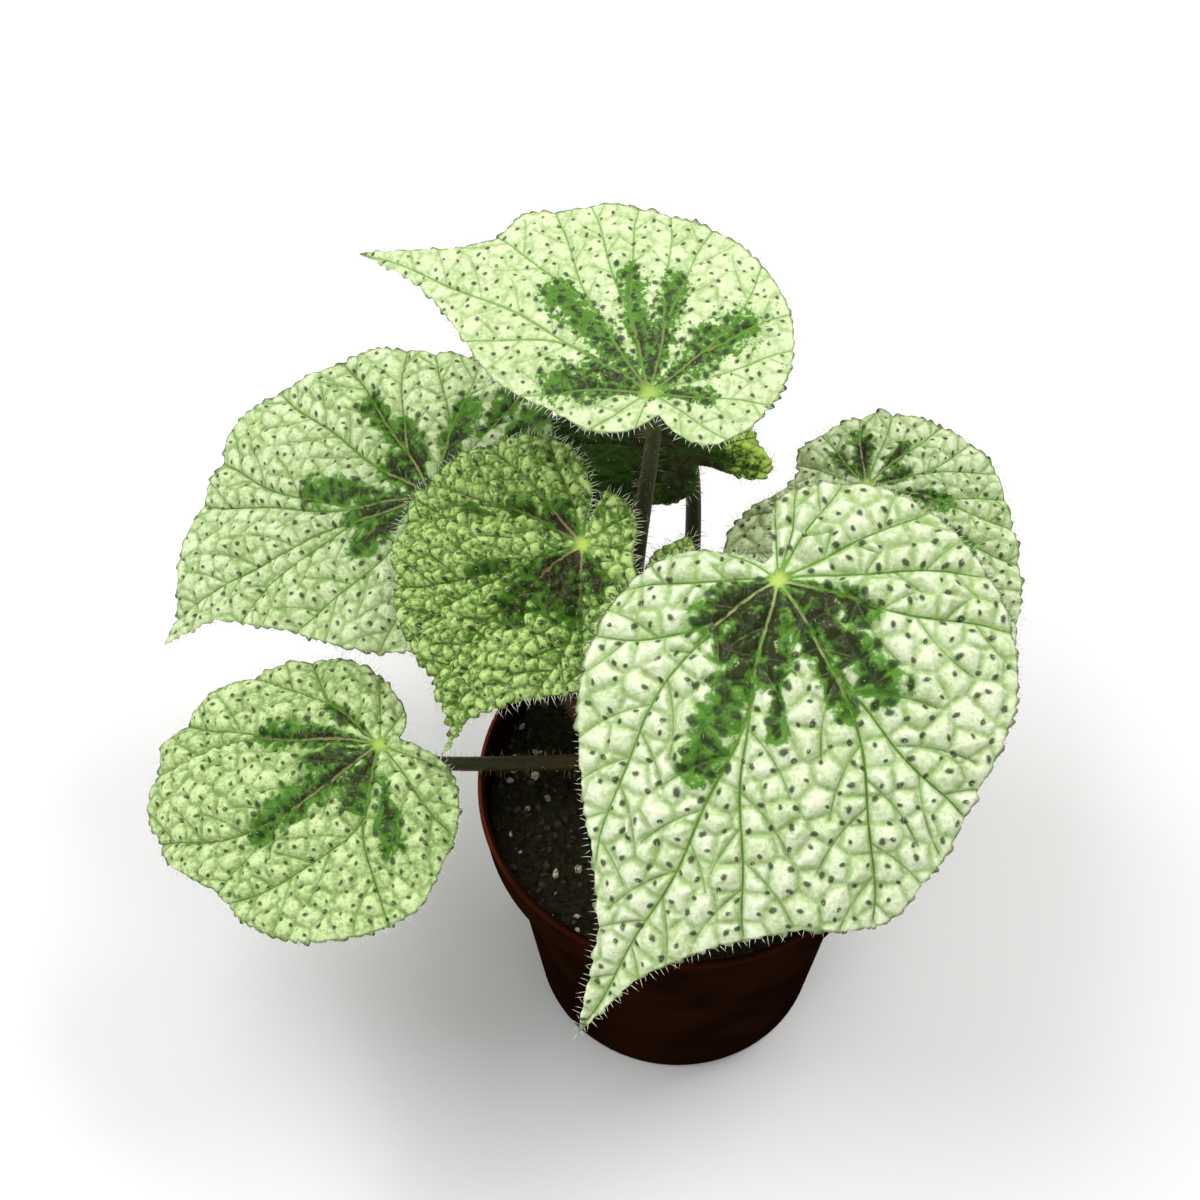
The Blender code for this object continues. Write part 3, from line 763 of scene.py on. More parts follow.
def make_hairs(name, roots, ways, lengths, radius, surface):
    """Fine tapering three-sided hairs, each a little bent."""
    ways = unit(ways)
    lengths = lengths[:, None]
    helper = np.where(np.abs(ways[:, 2:]) > 0.8, [[1.0, 0, 0]], [[0, 0, 1.0]])
    side = unit(np.cross(ways, helper))
    other = np.cross(ways, side)
    bend = (side * np.sin(np.arange(len(roots)) * 2.4)[:, None] + other * 0.3) * lengths * 0.14
    rings = []
    for share, width in ((-0.03, 1.0), (0.5, 0.75)):
        centre = roots + ways * lengths * share + bend * share**2
        for turn in range(3):
            angle = math.tau * turn / 3
            rings.append(centre + (side * math.cos(angle) + other * math.sin(angle)) * radius * width)
    rings.append(roots + ways * lengths + bend)
    points = np.stack(rings, 1).reshape(-1, 3)
    pattern = ((0, 2, 1), (0, 1, 4, 3), (1, 2, 5, 4), (2, 0, 3, 5), (3, 4, 6), (4, 5, 6), (5, 3, 6))
    faces = [tuple(7 * i + corner for corner in face) for i in range(len(roots)) for face in pattern]
    piece(name, points, faces, surface)


def blade_hairs(leaf, veined, surface):
    """Hairs along the margin, and finer ones that stand on the spots."""
    rng = np.random.default_rng(leaf.seed + 100)
    rim, outward, _ = veined.outline.walk(RIM_HAIR_SPACING / leaf.hairy**0.5)
    rim_base = bent(leaf, rim)
    step = unit(bent(leaf, rim + outward * 0.05) - rim_base)
    normal = bent_normals(leaf, rim)
    ways = step + normal * rng.normal(0.1, 0.35, (len(rim), 1))
    ways += np.cross(normal, step) * rng.normal(0, 0.4, (len(rim), 1))  # they lean along the margin
    lengths = rng.uniform(1.0, 2.7, len(rim)) * (0.8 + 0.25 * leaf.hairy)
    chosen = rng.random(len(veined.spots)) < 0.5 * leaf.hairy
    spots = veined.spots[chosen]
    _, height, arch = veined.read(spots)
    spot_base = lifted(leaf, spots, height + arch)
    spot_ways = bent_normals(leaf, spots) + rng.normal(0, 0.4, (len(spots), 3))
    roots = placed(leaf, np.concatenate([rim_base, spot_base]))
    turned_ways = np.concatenate([ways, spot_ways]) @ rotation_of(leaf).T
    all_lengths = np.concatenate([lengths, rng.uniform(0.6, 1.5, len(spots))])
    make_hairs(
        f"leaf_hairs_{leaf.name}", roots, turned_ways, all_lengths, BLADE_HAIR_RADIUS, surface,
    )


# Stalks, rhizome and stipules


def on_rhizome(azimuth, elevation):
    """A point on the rhizome and the way out of it there."""
    azimuth, elevation = math.radians(azimuth), math.radians(elevation)
    out = Vector((
        math.cos(azimuth) * math.cos(elevation),
        math.sin(azimuth) * math.cos(elevation),
        math.sin(elevation),
    ))
    point = RHIZOME_CENTRE + out * RHIZOME_HALF
    return point, Vector([a / b for a, b in zip(out, RHIZOME_HALF)]).normalized()


def stalk_path(leaf, steps):
    """Points from the rhizome to the underside of the blade, square to both where they end."""
    point, out = on_rhizome(*leaf.foot)
    foot = np.array(point - out * 0.8)
    out = np.array(out)
    up = rotation_of(leaf)[:, 2]
    top = np.array(leaf.junction) - up * (BLADE_THICKNESS + GAP + 0.1)
    leave, meet = leaf.handles
    base = np.array(point) + out * GAP
    a, b, c, d = base + out * STALK_NECK, base + out * leave, top - up * meet, top - up * STALK_NECK
    t = np.linspace(0, 1, steps)[:, None]
    bend = (1 - t) ** 3 * a + 3 * t * (1 - t) ** 2 * b + 3 * t * t * (1 - t) * c + t**3 * d
    return np.concatenate([[foot], [base], bend, [top], [np.array(leaf.junction) - up * 0.5]])


def ribbed_tube(path, radii, sides):
    """Rings of points round a path, with five shallow ribs, and the faces that close it."""
    run = unit(np.gradient(path, axis=0))
    helper = np.array([0.3, 0.9, 0.2])
    rings = []
    for centre, way, radius in zip(path, run, radii):
        side = unit(np.cross(way, helper))
        other = np.cross(way, side)
        helper = -other
        for turn in range(sides):
            angle = math.tau * turn / sides
            grow = radius * (1 + STALK_RIPPLE * math.cos(angle * 5))
            rings.append(centre + (side * math.cos(angle) + other * math.sin(angle)) * grow)
    faces = []
    for ring in range(len(path) - 1):
        for turn in range(sides):
            a, b = ring * sides + turn, ring * sides + (turn + 1) % sides
            faces.append((a, b, b + sides, a + sides))
    last = (len(path) - 1) * sides
    faces.append(tuple(reversed(range(sides))))
    faces.append(tuple(range(last, last + sides)))
    return np.array(rings), faces


def make_stalk(leaf, surface, hair_surface):
    """A tapering round stalk with hairs that stand out from it."""
    path = stalk_path(leaf, STALK_STEPS)
    share = np.linspace(0, 1, len(path))
    radii = leaf.stalk_radius * (STALK_FOOT_SWELL + (STALK_TOP_TAPER - STALK_FOOT_SWELL) * share)
    radii[-2:] *= (1.02, 1.15)
    points, faces = ribbed_tube(path, radii, STALK_SIDES)
    obj = piece(f"stem_{leaf.name}", points, faces, surface, f"stalk_{leaf.name}")
    store(obj, "along", np.repeat(share, STALK_SIDES))
    rng = np.random.default_rng(leaf.seed + 200)
    count = int(walked_along(path)[-1] * leaf.stalk_radius * STALK_HAIRS)
    place = rng.uniform(2, len(path) - 4, count)
    index = place.astype(int)
    part = (place - index)[:, None]
    centre = path[index] * (1 - part) + path[index + 1] * part
    way = unit(path[index + 1] - path[index])
    spin = unit(np.cross(way, rng.normal(size=way.shape)))
    roots = centre + spin * (radii[index] * 0.97)[:, None]
    hair_ways = spin + way * rng.normal(0.1, 0.25, (count, 1))
    lengths = rng.uniform(0.9, 3.0, count)
    make_hairs(
        f"stem_hairs_{leaf.name}", roots, hair_ways, lengths, STALK_HAIR_RADIUS, hair_surface,
    )


# Materials


class Value:
    """A number that differs over a surface. Arithmetic with it adds the nodes that work it out."""

    def __init__(self, nodes, socket):
        self.nodes = nodes
        self.socket = socket

    def __add__(self, other):
        return self.nodes.number("ADD", self, other)

    def __sub__(self, other):
        return self.nodes.number("SUBTRACT", self, other)

    def __rsub__(self, other):
        return self.nodes.number("SUBTRACT", other, self)

    def __mul__(self, other):
        return self.nodes.number("MULTIPLY", self, other)

    def __truediv__(self, other):
        return self.nodes.number("DIVIDE", self, other)

    __radd__ = __add__
    __rmul__ = __mul__


class Nodes:
    """Short calls for building a material's nodes."""

    def __init__(self, name):
        self.material = bpy.data.materials.new(name)
        self.material.use_nodes = True
        self.tree = self.material.node_tree
        self.shader = self.tree.nodes["Principled BSDF"]

    def add(self, kind, **settings):
        """A new node with its settings."""
        node = self.tree.nodes.new("ShaderNode" + kind)
        for name, value in settings.items():
            setattr(node, name, value)
        return node

    def feed(self, socket, value):
        """Links a value to a socket, or sets a constant on it."""
        value = value.socket if isinstance(value, Value) else value
        if isinstance(value, bpy.types.NodeSocket):
            self.tree.links.new(value, socket)
        else:
            socket.default_value = value

    def feed_all(self, node, values):
        for name, value in values.items():
            self.feed(node.inputs[name], value)

    def number(self, operation, *values):
        node = self.add("Math", operation=operation)
        self.feed_all(node, dict(enumerate(values)))
        return Value(self, node.outputs[0])

    def least(self, first, *others):
        for other in others:
            first = self.number("MINIMUM", first, other)
        return first

    def length(self, x, y):
        """Length of the way (x, y)."""
        return self.number("SQRT", self.number("POWER", x, 2.0) + self.number("POWER", y, 2.0))

    def step(self, value, low, high):
        """0 below low, 1 above high and smooth between."""
        node = self.add("MapRange", interpolation_type="SMOOTHSTEP")
        self.feed_all(node, {"Value": value, "From Min": low, "From Max": high})
        return Value(self, node.outputs[0])

    def fall(self, value, low, high):
        """1 below low, 0 above high and smooth between."""
        return 1.0 - self.step(value, low, high)

    def mix(self, share, first, second):
        node = self.add("Mix", data_type="RGBA")
        self.feed_all(node, {0: share, 6: first, 7: second})
        return node.outputs[2]

    def stored(self, name):
        """A number that the mesh's vertices hold."""
        return Value(self, self.add("Attribute", attribute_name=name).outputs["Fac"])

    def place(self):
        """The place in the object's own metres."""
        return self.add("TexCoord").outputs["Object"]

    def noise(self, scale, detail=2.0, roughness=0.5, stretch=None):
        """Noise in the object's own metres."""
        where = self.place()
        if stretch:
            mapping = self.add("Mapping")
            self.feed_all(mapping, {"Scale": stretch, "Vector": where})
            where = mapping.outputs["Vector"]
        node = self.add("TexNoise")
        values = {"Scale": scale, "Detail": detail, "Roughness": roughness, "Vector": where}
        self.feed_all(node, values)
        return Value(self, node.outputs["Fac"])

    def bump(self, height, distance):
        node = self.add("Bump")
        self.feed_all(node, {"Strength": 1.0, "Distance": distance, "Height": height})
        self.feed(self.shader.inputs["Normal"], node.outputs["Normal"])

    def finish(self, colour, roughness, **constants):
        self.feed_all(self.shader, {"Base Color": colour, "Roughness": roughness})
        for name, value in constants.items():
            self.shader.inputs[name.replace("_", " ")].default_value = value
        return self.material


def rgb(red, green, blue):
    """A colour from screen values of 0 to 255, as the linear one that a shader takes."""
    linear = []
    for value in (red, green, blue):
        share = value / 255
        linear.append(share / 12.92 if value < 10.3 else ((share + 0.055) / 1.055) ** 2.4)
    return (*linear, 1.0)


# tops, slopes and folds: the pucker crests, their sides and the creases between them. The paler tops and
# darker folds are partly the leaf's own colour, partly painted light and painted shade.
PALETTES = {
    "silver": {
        "tops": (226, 235, 205), "slopes": (172, 194, 130), "folds": (108, 148, 54),
        "green": (84, 132, 42), "deep": (46, 66, 22), "vein": (100, 144, 48), "pale": (150, 160, 100),
    },
    "fresh": {
        "tops": (180, 211, 116), "slopes": (80, 124, 32), "folds": (38, 72, 12),
        "green": (66, 108, 24), "deep": (38, 46, 14), "vein": (76, 118, 30), "pale": (136, 126, 84),
    },
    # The old leaf in the shade: green, deep and pale are painted shade for the part under the other
    # leaves; tops, slopes and folds are its lit right lobe.
    "old_in_shade": {
        "tops": (188, 220, 104), "slopes": (154, 190, 76), "folds": (92, 128, 42),
        "green": (38, 64, 14), "deep": (24, 42, 10), "vein": (70, 98, 32), "pale": (34, 54, 16),
    },
}


def palette_of(leaf):
    """The leaf's colours by name: the old leaf's palette with its painted shade, or a mix of fresh and
    silver.
    """
    if leaf.old_in_shade:
        return {name: rgb(*colour) for name, colour in PALETTES["old_in_shade"].items()}
    mixed = {}
    for name, fresh in PALETTES["fresh"].items():
        pairs = zip(fresh, PALETTES["silver"][name])
        mixed[name] = rgb(*(a + (b - a) * leaf.silver for a, b in pairs))
    return mixed


def blade_skin(n, leaf, paint, medium, fine):
    """Silver or fresh green puckers, paler on their tops and greener down their sides, with darker folds
    between them: partly the leaf's own silver and green, partly painted light on the tops and painted
    shade in the folds.
    """
    # The bulge term gives the crests more of the pale tops colour: partly the leaf's silver, partly
    # painted light.
    uneven = n.stored("tone") * 0.15 + medium + n.stored("bulge") * 0.15
    soft = 0.12 + 0.13 * leaf.silver
    plain = 0.5 * (1 - leaf.net) * leaf.silver
    skin = n.mix(n.step(uneven, 0.64 - soft, 0.64 + soft), paint["slopes"], paint["tops"])
    skin = n.mix(n.step(fine, 0.5, 0.75) * 0.3 + plain, skin, paint["tops"])
    # Darker green in the creases between puckers: partly vein green, partly painted shade.
    fold_green_and_shade = n.fall(n.least(n.stored("main"), n.stored("side"), n.stored("edge")), 0.05, 0.17 * leaf.cell)
    return n.mix(fold_green_and_shade * (0.45 * leaf.net), skin, paint["folds"])


def blade_marks(n, leaf, paint, skin, medium):
    """The skin with its marks, green at their edges and dark inside, and how dark they are."""
    feathered = 1 - leaf.net
    raggedness = 0.7 if leaf.old_in_shade else 2.0 - feathered
    uneven = (n.noise(330) - 0.5) * raggedness + (medium - 0.5) * (1.2 + 4.5 * feathered)
    shade = n.stored("dark") + uneven - n.stored("bulge") * 0.22
    near = n.fall(n.stored("out"), 2.4 * leaf.cell, 5.0 * leaf.cell)
    dark = n.step(shade + near * 0.35, 0.42 + 0.25 * feathered, 0.98 + 0.5 * feathered)
    deep = n.mix(near * 0.6, paint["deep"], rgb(44, 38, 18))
    colour = n.mix(n.step(shade, -0.35, 0.12), skin, paint["green"])
    colour = n.mix(dark, colour, deep)
    fleck = n.step(medium, 0.57, 0.66) * n.step(n.stored("bulge"), 0.5, 0.95)
    fleck = fleck * n.step(n.stored("out"), 6.0, 16.0)
    return n.mix(fleck * (0.1 if leaf.old_in_shade else 0.7), colour, paint["slopes"]), dark


def blade_veins(n, leaf, paint, colour, dark):
    """The colour with the veins drawn on it, strongest at the junction and pale on the marks."""
    hub = n.fall(n.stored("out"), 0.4, 3.2)
    vein_colour = n.mix(dark * (0.3 + 0.7 * leaf.net), paint["vein"], paint["pale"])
    if not leaf.old_in_shade:
        vein_colour = n.mix(hub, vein_colour, rgb(176, 204, 88))
    thick = 0.17 + hub * (0.1 if leaf.old_in_shade else 0.38) + n.step(n.stored("rim"), 0.0, 40.0) * 0.12
    main_line = n.fall(n.stored("main"), thick * 0.6, thick * 1.6)
    side_line = n.fall(n.stored("side"), 0.05, 0.34)
    edge_line = n.fall(n.stored("edge"), 0.0, 0.32)
    lines = n.number("MAXIMUM", side_line * 0.55, edge_line * (0.16 * leaf.net)) * (1.0 - dark * 0.55)
    lines = n.number("MAXIMUM", main_line, lines)
    return n.mix(lines * (0.55 + 0.4 * leaf.net), colour, vein_colour)


def from_spot(n, leaf, fine):
    """Distance from the nearest spot's middle, about 1 at its ragged edge. Spots grow on the marks."""
    offset = n.length(n.stored("spot_x"), n.stored("spot_y"))
    away = n.number("MAXIMUM", offset, n.stored("spot_far") * 0.7)
    away = away + (fine - 0.5) * (leaf.spot * 0.9)
    grown = 1.0 + n.step(n.stored("dark"), -0.9, 0.0) * 0.7
    return away / (grown * leaf.spot)


def blade_surface(leaf):
    """Silver skin with green veins, dark patches with pale veins, dark spots and a plain underside."""
    n = Nodes(f"{leaf.name} blade")
    paint = palette_of(leaf)
    medium, fine = n.noise(650 + 400 * (1 - leaf.silver), 3.0, 0.6), n.noise(1500, 3.0, 0.6)
    skin = blade_skin(n, leaf, paint, medium, fine)
    colour, dark = blade_marks(n, leaf, paint, skin, medium)
    colour = blade_veins(n, leaf, paint, colour, dark)
    away = from_spot(n, leaf, fine)
    spot = n.fall(away, 0.5, 1.35)
    colour = n.mix(spot * (0.45 if leaf.old_in_shade else 0.92), colour, rgb(44, 62, 24))
    colour = n.mix(n.fall(n.stored("rim"), 0.0, 0.8) * 0.6, colour, rgb(90, 112, 54))
    under_vein = n.fall(n.least(n.stored("main"), n.stored("side")), 0.3, 1.0)
    under = n.mix(under_vein, rgb(112, 138, 76), rgb(140, 96, 72))
    colour = n.mix(n.stored("upper"), under, colour)
    n.bump(medium + fine * 0.5 + n.fall(away, 0.0, 1.8), 0.00035)
    return n.finish(
        colour, 0.4 + fine * 0.2 - dark * 0.24, Coat_Weight=0.03, Coat_Roughness=0.25,
        Specular_IOR_Level=0.05 if leaf.old_in_shade else 0.22,
    )


def stalk_surface():
    n = Nodes("stalk skin")
    along = n.stored("along")
    # Brown at the foot and green at the top are the stalks' own colours, set darker than they are:
    # painted shade, for the rear stalks that stand in the shade of the blades.
    base = n.mix(n.step(along, 0.0, 0.5), rgb(82, 54, 24), rgb(48, 48, 17))
    base = n.mix(n.step(along, 0.6, 1.0), base, rgb(62, 76, 28))
    blotch = n.step(n.noise(500, 3.0, 0.6), 0.45, 0.7)
    colour = n.mix(blotch * 0.6, base, rgb(36, 28, 12))
    n.bump(n.noise(1600, 3.0), 0.0001)
    return n.finish(colour, 0.5, Specular_IOR_Level=0.25)


def hair_surface(name, colour):
    n = Nodes(name)
    shade = n.mix(n.noise(300, 1.0), colour, tuple(c * 0.8 for c in colour[:3]) + (1.0,))
    return n.finish(shade, 0.4, Subsurface_Weight=0.2, Subsurface_Scale=0.0005)


def pot_surface():
    """Dark brown plastic, dusty, with a painted highlight along the outer edge of its red-brown lip:
    strong at the back left, faint at the front, where the lip is left in painted shade.
    """
    n = Nodes("pot plastic")
    split = n.add("SeparateXYZ")
    n.feed(split.inputs[0], n.place())
    x, y, z = (Value(n, socket) for socket in split.outputs)
    # Painted highlight: the outer edge of the lip is painted red-brown where light would catch it.
    lip = n.step(z, (POT_HEIGHT - 1.1) * MM, (POT_HEIGHT - 0.3) * MM)
    lip = lip * n.step(n.length(x, y), (LIP_RADIUS - 1.1) * MM, (LIP_RADIUS - 0.6) * MM)
    # The painted highlight is near full at the back left and almost gone at the front, which is painted
    # shade under the front leaf.
    lip = lip * (0.08 + n.step(y - x, 0.01, 0.05) * 0.87)
    body = n.mix(n.step(n.noise(60, 3.0), 0.35, 0.7), rgb(31, 14, 6), rgb(21, 8, 3))
    colour = n.mix(lip * 0.85, body, rgb(128, 56, 38))
    dust = n.step(n.noise(900, 5.0, 0.7), 0.6, 0.8) * 0.12
    colour = n.mix(dust, colour, rgb(110, 84, 62))
    n.bump(n.noise(700), 0.00008)
    return n.finish(colour, 0.42 + n.noise(150, 3.0) * 0.2, Specular_IOR_Level=0.0)


def soil_surface():
    n = Nodes("potting mix")
    colour = n.mix(n.step(n.noise(700, 5.0, 0.7), 0.35, 0.65), rgb(14, 14, 7), rgb(46, 42, 23))
    moss = n.step(n.noise(120, 4.0, 0.6), 0.55, 0.7) * 0.6
    colour = n.mix(moss, colour, rgb(42, 52, 20))
    n.bump(n.noise(1800, 5.0, 0.7), 0.0006)
    return n.finish(colour, 0.85, Specular_IOR_Level=0.12)


def grain_surface():
    n = Nodes("soil grains")
    colour = n.mix(n.step(n.stored("tone"), 0.5, 0.52), rgb(40, 32, 18), rgb(196, 194, 158))
    colour = n.mix(n.step(n.noise(1500, 3.0), 0.4, 0.7), colour, rgb(58, 56, 34))
    n.bump(n.noise(2500, 3.0), 0.0002)
    return n.finish(colour, 0.8)


def rhizome_surface():
    n = Nodes("rhizome skin")
    colour = n.mix(n.step(n.noise(350, 4.0, 0.6), 0.35, 0.65), rgb(92, 50, 30), rgb(54, 34, 20))
    n.bump(n.noise(900, 4.0, 0.6), 0.0004)
    return n.finish(colour, 0.6)


def stipule_surface():
    n = Nodes("papery bract")
    upright = (1, 1, 0.2)
    streak = n.step(n.noise(500, 3.0, stretch=upright), 0.35, 0.65)
    colour = n.mix(streak, rgb(160, 106, 70), rgb(116, 66, 40))
    n.bump(n.noise(1200, 3.0, stretch=upright), 0.0002)
    return n.finish(colour, 0.55)


def floor_surface():
    n = Nodes("studio floor")
    tone = n.mix(n.noise(3), (0.86, 0.86, 0.86, 1.0), (0.84, 0.84, 0.84, 1.0))
    return n.finish(tone, 0.7)


# Pot, soil, rhizome and stipules


def wall_radius(height):
    """Outer radius of the tapered wall below the collar."""
    top = COLLAR_RADIUS - STEP_IN - COLLAR_TAPER
    return BASE_RADIUS + (top - BASE_RADIUS) * height / (POT_HEIGHT - COLLAR_DEPTH)


def arc(centre, radius, start, end, steps):
    """Points of an arc in the profile's plane, between two angles in degrees."""
    turn = np.radians(np.linspace(start, end, steps))
    return [(centre[0] + radius * math.cos(a), centre[1] + radius * math.sin(a)) for a in turn]


def spun(profile, sides):
    """Points and faces of a closed profile of (radius, height) that starts and ends on the axis."""
    points = [(0.0, 0.0, profile[0][1])]
    for radius, height in profile[1:-1]:
        for turn in range(sides):
            angle = math.tau * turn / sides
            points.append((radius * math.cos(angle), radius * math.sin(angle), height))
    points.append((0.0, 0.0, profile[-1][1]))
    faces = []
    rings = len(profile) - 2
    for turn in range(sides):
        after = (turn + 1) % sides
        faces.append((0, 1 + after, 1 + turn))
        for ring in range(rings - 1):
            a, b = 1 + ring * sides + turn, 1 + ring * sides + after
            faces.append((a, b, b + sides, a + sides))
        last = 1 + (rings - 1) * sides
        faces.append((last + turn, last + after, len(points) - 1))
    return np.array(points), faces


def make_pot(surface):
    """The pot with a rounded lip, and its drainage holes cut through the base."""
    shoulder = POT_HEIGHT - COLLAR_DEPTH
    lip_bottom = POT_HEIGHT - LIP_DEPTH
    shelf = shoulder - SHELF_DROP
    top_of_wall = wall_radius(shelf)
    lip_inner = COLLAR_RADIUS - WALL
    floor_radius = wall_radius(FLOOR) - WALL - FILLET
    profile = [(0.0, FLOOR), (floor_radius, FLOOR)]
    profile += arc((floor_radius, FLOOR + FILLET), FILLET, -60, 0, 4)
    profile += [(top_of_wall - WALL, shelf + 0.6), (top_of_wall - WALL + 0.6, shelf + 1.3)]
    profile += [(lip_inner - 0.9, shoulder + SHELF_RISE - 0.3)]
    profile += [(lip_inner - 0.4, shoulder + SHELF_RISE + 0.5), (lip_inner, lip_bottom)]
    profile += arc((lip_inner + EDGE, POT_HEIGHT - EDGE), EDGE, 180, 90, 5)
    profile += arc((LIP_RADIUS - EDGE, POT_HEIGHT - EDGE), EDGE, 90, 0, 5)
    profile += arc((LIP_RADIUS - 0.4, lip_bottom + 0.5), 0.4, 0, -80, 4)
    profile += [(COLLAR_RADIUS, lip_bottom), (COLLAR_RADIUS - COLLAR_TAPER, shoulder + 0.8)]
    profile += arc((COLLAR_RADIUS - COLLAR_TAPER - EDGE, shoulder + 0.7), EDGE, 0, -60, 4)
    profile += [(top_of_wall + 0.7, shelf + 0.1), (top_of_wall + 0.2, shelf - 0.5)]
    profile += [(top_of_wall, shelf - 1.2), (wall_radius(1.2), 1.2)]
    profile += [(BASE_RADIUS - 0.5, 0.3), (BASE_RADIUS - 1.2, 0.0), (0.0, 0.0)]
    points, faces = spun(profile, POT_SIDES)
    pot = piece("pot_shell", points, faces, surface, "pot")
    cut_drain_holes(pot)
    pot.data.set_sharp_from_angle(angle=math.radians(35))


def cut_drain_holes(pot):
    """Cuts a ring of round holes through the base."""
    bm = bmesh.new()
    for index in range(DRAIN_HOLES):
        angle = math.tau * (index + 0.5) / DRAIN_HOLES
        made = bmesh.ops.create_cone(
            bm, cap_ends=True, segments=32, radius1=DRAIN_RADIUS * MM, radius2=DRAIN_RADIUS * MM,
            depth=4 * FLOOR * MM,
        )
        place = Vector((math.cos(angle), math.sin(angle), 0.0)) * DRAIN_CIRCLE * MM
        bmesh.ops.translate(bm, verts=made["verts"], vec=place)
    cutter_mesh = bpy.data.meshes.new("drain_cutter")
    bm.to_mesh(cutter_mesh)
    bm.free()
    cutter = bpy.data.objects.new("drain_cutter", cutter_mesh)
    bpy.context.scene.collection.objects.link(cutter)
    cut = pot.modifiers.new("Drain holes", "BOOLEAN")
    cut.operation = "DIFFERENCE"
    cut.solver = "EXACT"
    cut.object = cutter
    graph = bpy.context.evaluated_depsgraph_get()
    drained = bpy.data.meshes.new_from_object(pot.evaluated_get(graph))
    pot.modifiers.clear()
    pot.data = drained
    bpy.data.objects.remove(cutter)


def soil_height(x, y):
    """Height of the rough top of the soil."""
    reach = math.hypot(x, y)
    fall = max(0.0, (reach - 34) / 13) ** 2 * 0.6
    low = noise.noise(Vector((x, y, 3.0)) / 14) * 1.1
    crumbs = noise.noise(Vector((x, y, 7.0)) / 3.0) * 0.8
    crumbs += noise.noise(Vector((x, y, 1.0)) / 1.3) * 0.45
    return SOIL_TOP - fall + low + crumbs


def make_soil(surface):
    """One solid of potting mix with a crumbly top."""
    taper = 0.5  # how much narrower the collar is at the soil
    radius = COLLAR_RADIUS - taper - WALL - GAP
    count = int(math.tau * radius / SOIL_SPACING)
    turn = np.arange(count) * math.tau / count
    rim = np.stack([np.cos(turn), np.sin(turn)], 1) * radius
    inner = grid(radius, SOIL_SPACING)
    inner = inner[np.hypot(inner[:, 0], inner[:, 1]) < radius - 0.6]
    flat, faces, rim_index = triangulated(rim, inner)
    points = [(x, y, soil_height(x, y)) for x, y in flat]
    faces = [tuple(f) for f in faces]
    depth = FLOOR + 1.5
    shoulder = POT_HEIGHT - COLLAR_DEPTH
    rings = [
        (radius, shoulder + SHELF_RISE + 0.4),
        (wall_radius(shoulder - SHELF_DROP) - WALL - GAP, shoulder - SHELF_DROP + 1.2),
        (wall_radius(depth) - WALL - GAP, depth),
    ]
    last = rim_index
    for ring_radius, height in rings:
        start = len(points)
        points += [(ring_radius * math.cos(a), ring_radius * math.sin(a), height) for a in turn]
        ring = list(range(start, start + count))
        for index in range(count):
            after = (index + 1) % count
            faces.append((last[index], ring[index], ring[after], last[after]))
        last = ring
    faces.append(tuple(reversed(last)))
    piece("potting_mix", points, faces, surface, "soil")


def make_grains(surface):
    """Loose grains on the soil: bark crumbs and pale perlite."""
    rng = np.random.default_rng(31)
    points, faces, tones = [], [], []
    for _ in range(GRAINS):
        angle, reach = rng.uniform(0, math.tau), GRAIN_REACH * math.sqrt(rng.random())
        x, y = reach * math.cos(angle), reach * math.sin(angle)
        tone = rng.random()
        size = rng.uniform(0.35, 1.2) if tone < PERLITE else rng.uniform(0.4, 1.5)
        bm = bmesh.new()
        bmesh.ops.create_icosphere(bm, subdivisions=1, radius=size)
        stretch = rng.uniform(0.5, 1.2, 3)
        spin = Euler(rng.uniform(0, 6, 3)).to_matrix()
        place = Vector((x, y, soil_height(x, y) + size * 0.15))
        start = len(points)
        for vert in bm.verts:
            rough = 1 + 0.25 * noise.noise(vert.co * 2 + place)
            points.append(tuple(spin @ (vert.co * Vector(stretch) * rough) + place))
            tones.append(tone * (0.5 / PERLITE))
        for face in bm.faces:
            faces.append(tuple(start + v.index for v in face.verts))
        bm.free()
    obj = piece("soil_grains", points, faces, surface, smooth=False)
    store(obj, "tone", tones)


def make_rhizome(surface, hairs):
    """The creeping stem: a lumpy, scarred, hairy body that lies on the soil."""
    sunk = 1.5  # how far below its centre it is cut off flat
    bm = bmesh.new()
    bmesh.ops.create_icosphere(bm, subdivisions=5, radius=1.0)
    points, normals = [], []
    for vert in bm.verts:
        co = vert.co
        lump = 1 + 0.05 * noise.noise(co * 4) + 0.03 * math.sin(co.x * 22 + noise.noise(co * 3))
        spot = RHIZOME_CENTRE + Vector(co * lump) * RHIZOME_HALF
        spot.z = max(spot.z, RHIZOME_CENTRE.z - sunk)
        points.append(tuple(spot))
        normals.append(tuple(co))
    faces = [tuple(v.index for v in face.verts) for face in bm.faces]
    bm.free()
    piece("creeping_stem", points, faces, surface, "rhizome")
    rng = np.random.default_rng(41)
    upper = [i for i, normal in enumerate(normals) if normal[2] > 0.1]
    chosen = rng.choice(upper, RHIZOME_HAIRS, replace=False)
    roots = np.array(points)[chosen]
    ways = np.array(normals)[chosen] + rng.normal(0, 0.3, (RHIZOME_HAIRS, 3))
    lengths = rng.uniform(0.8, 2.4, RHIZOME_HAIRS)
    make_hairs("creeping_stem_hairs", roots, ways, lengths, RHIZOME_HAIR_RADIUS, hairs)


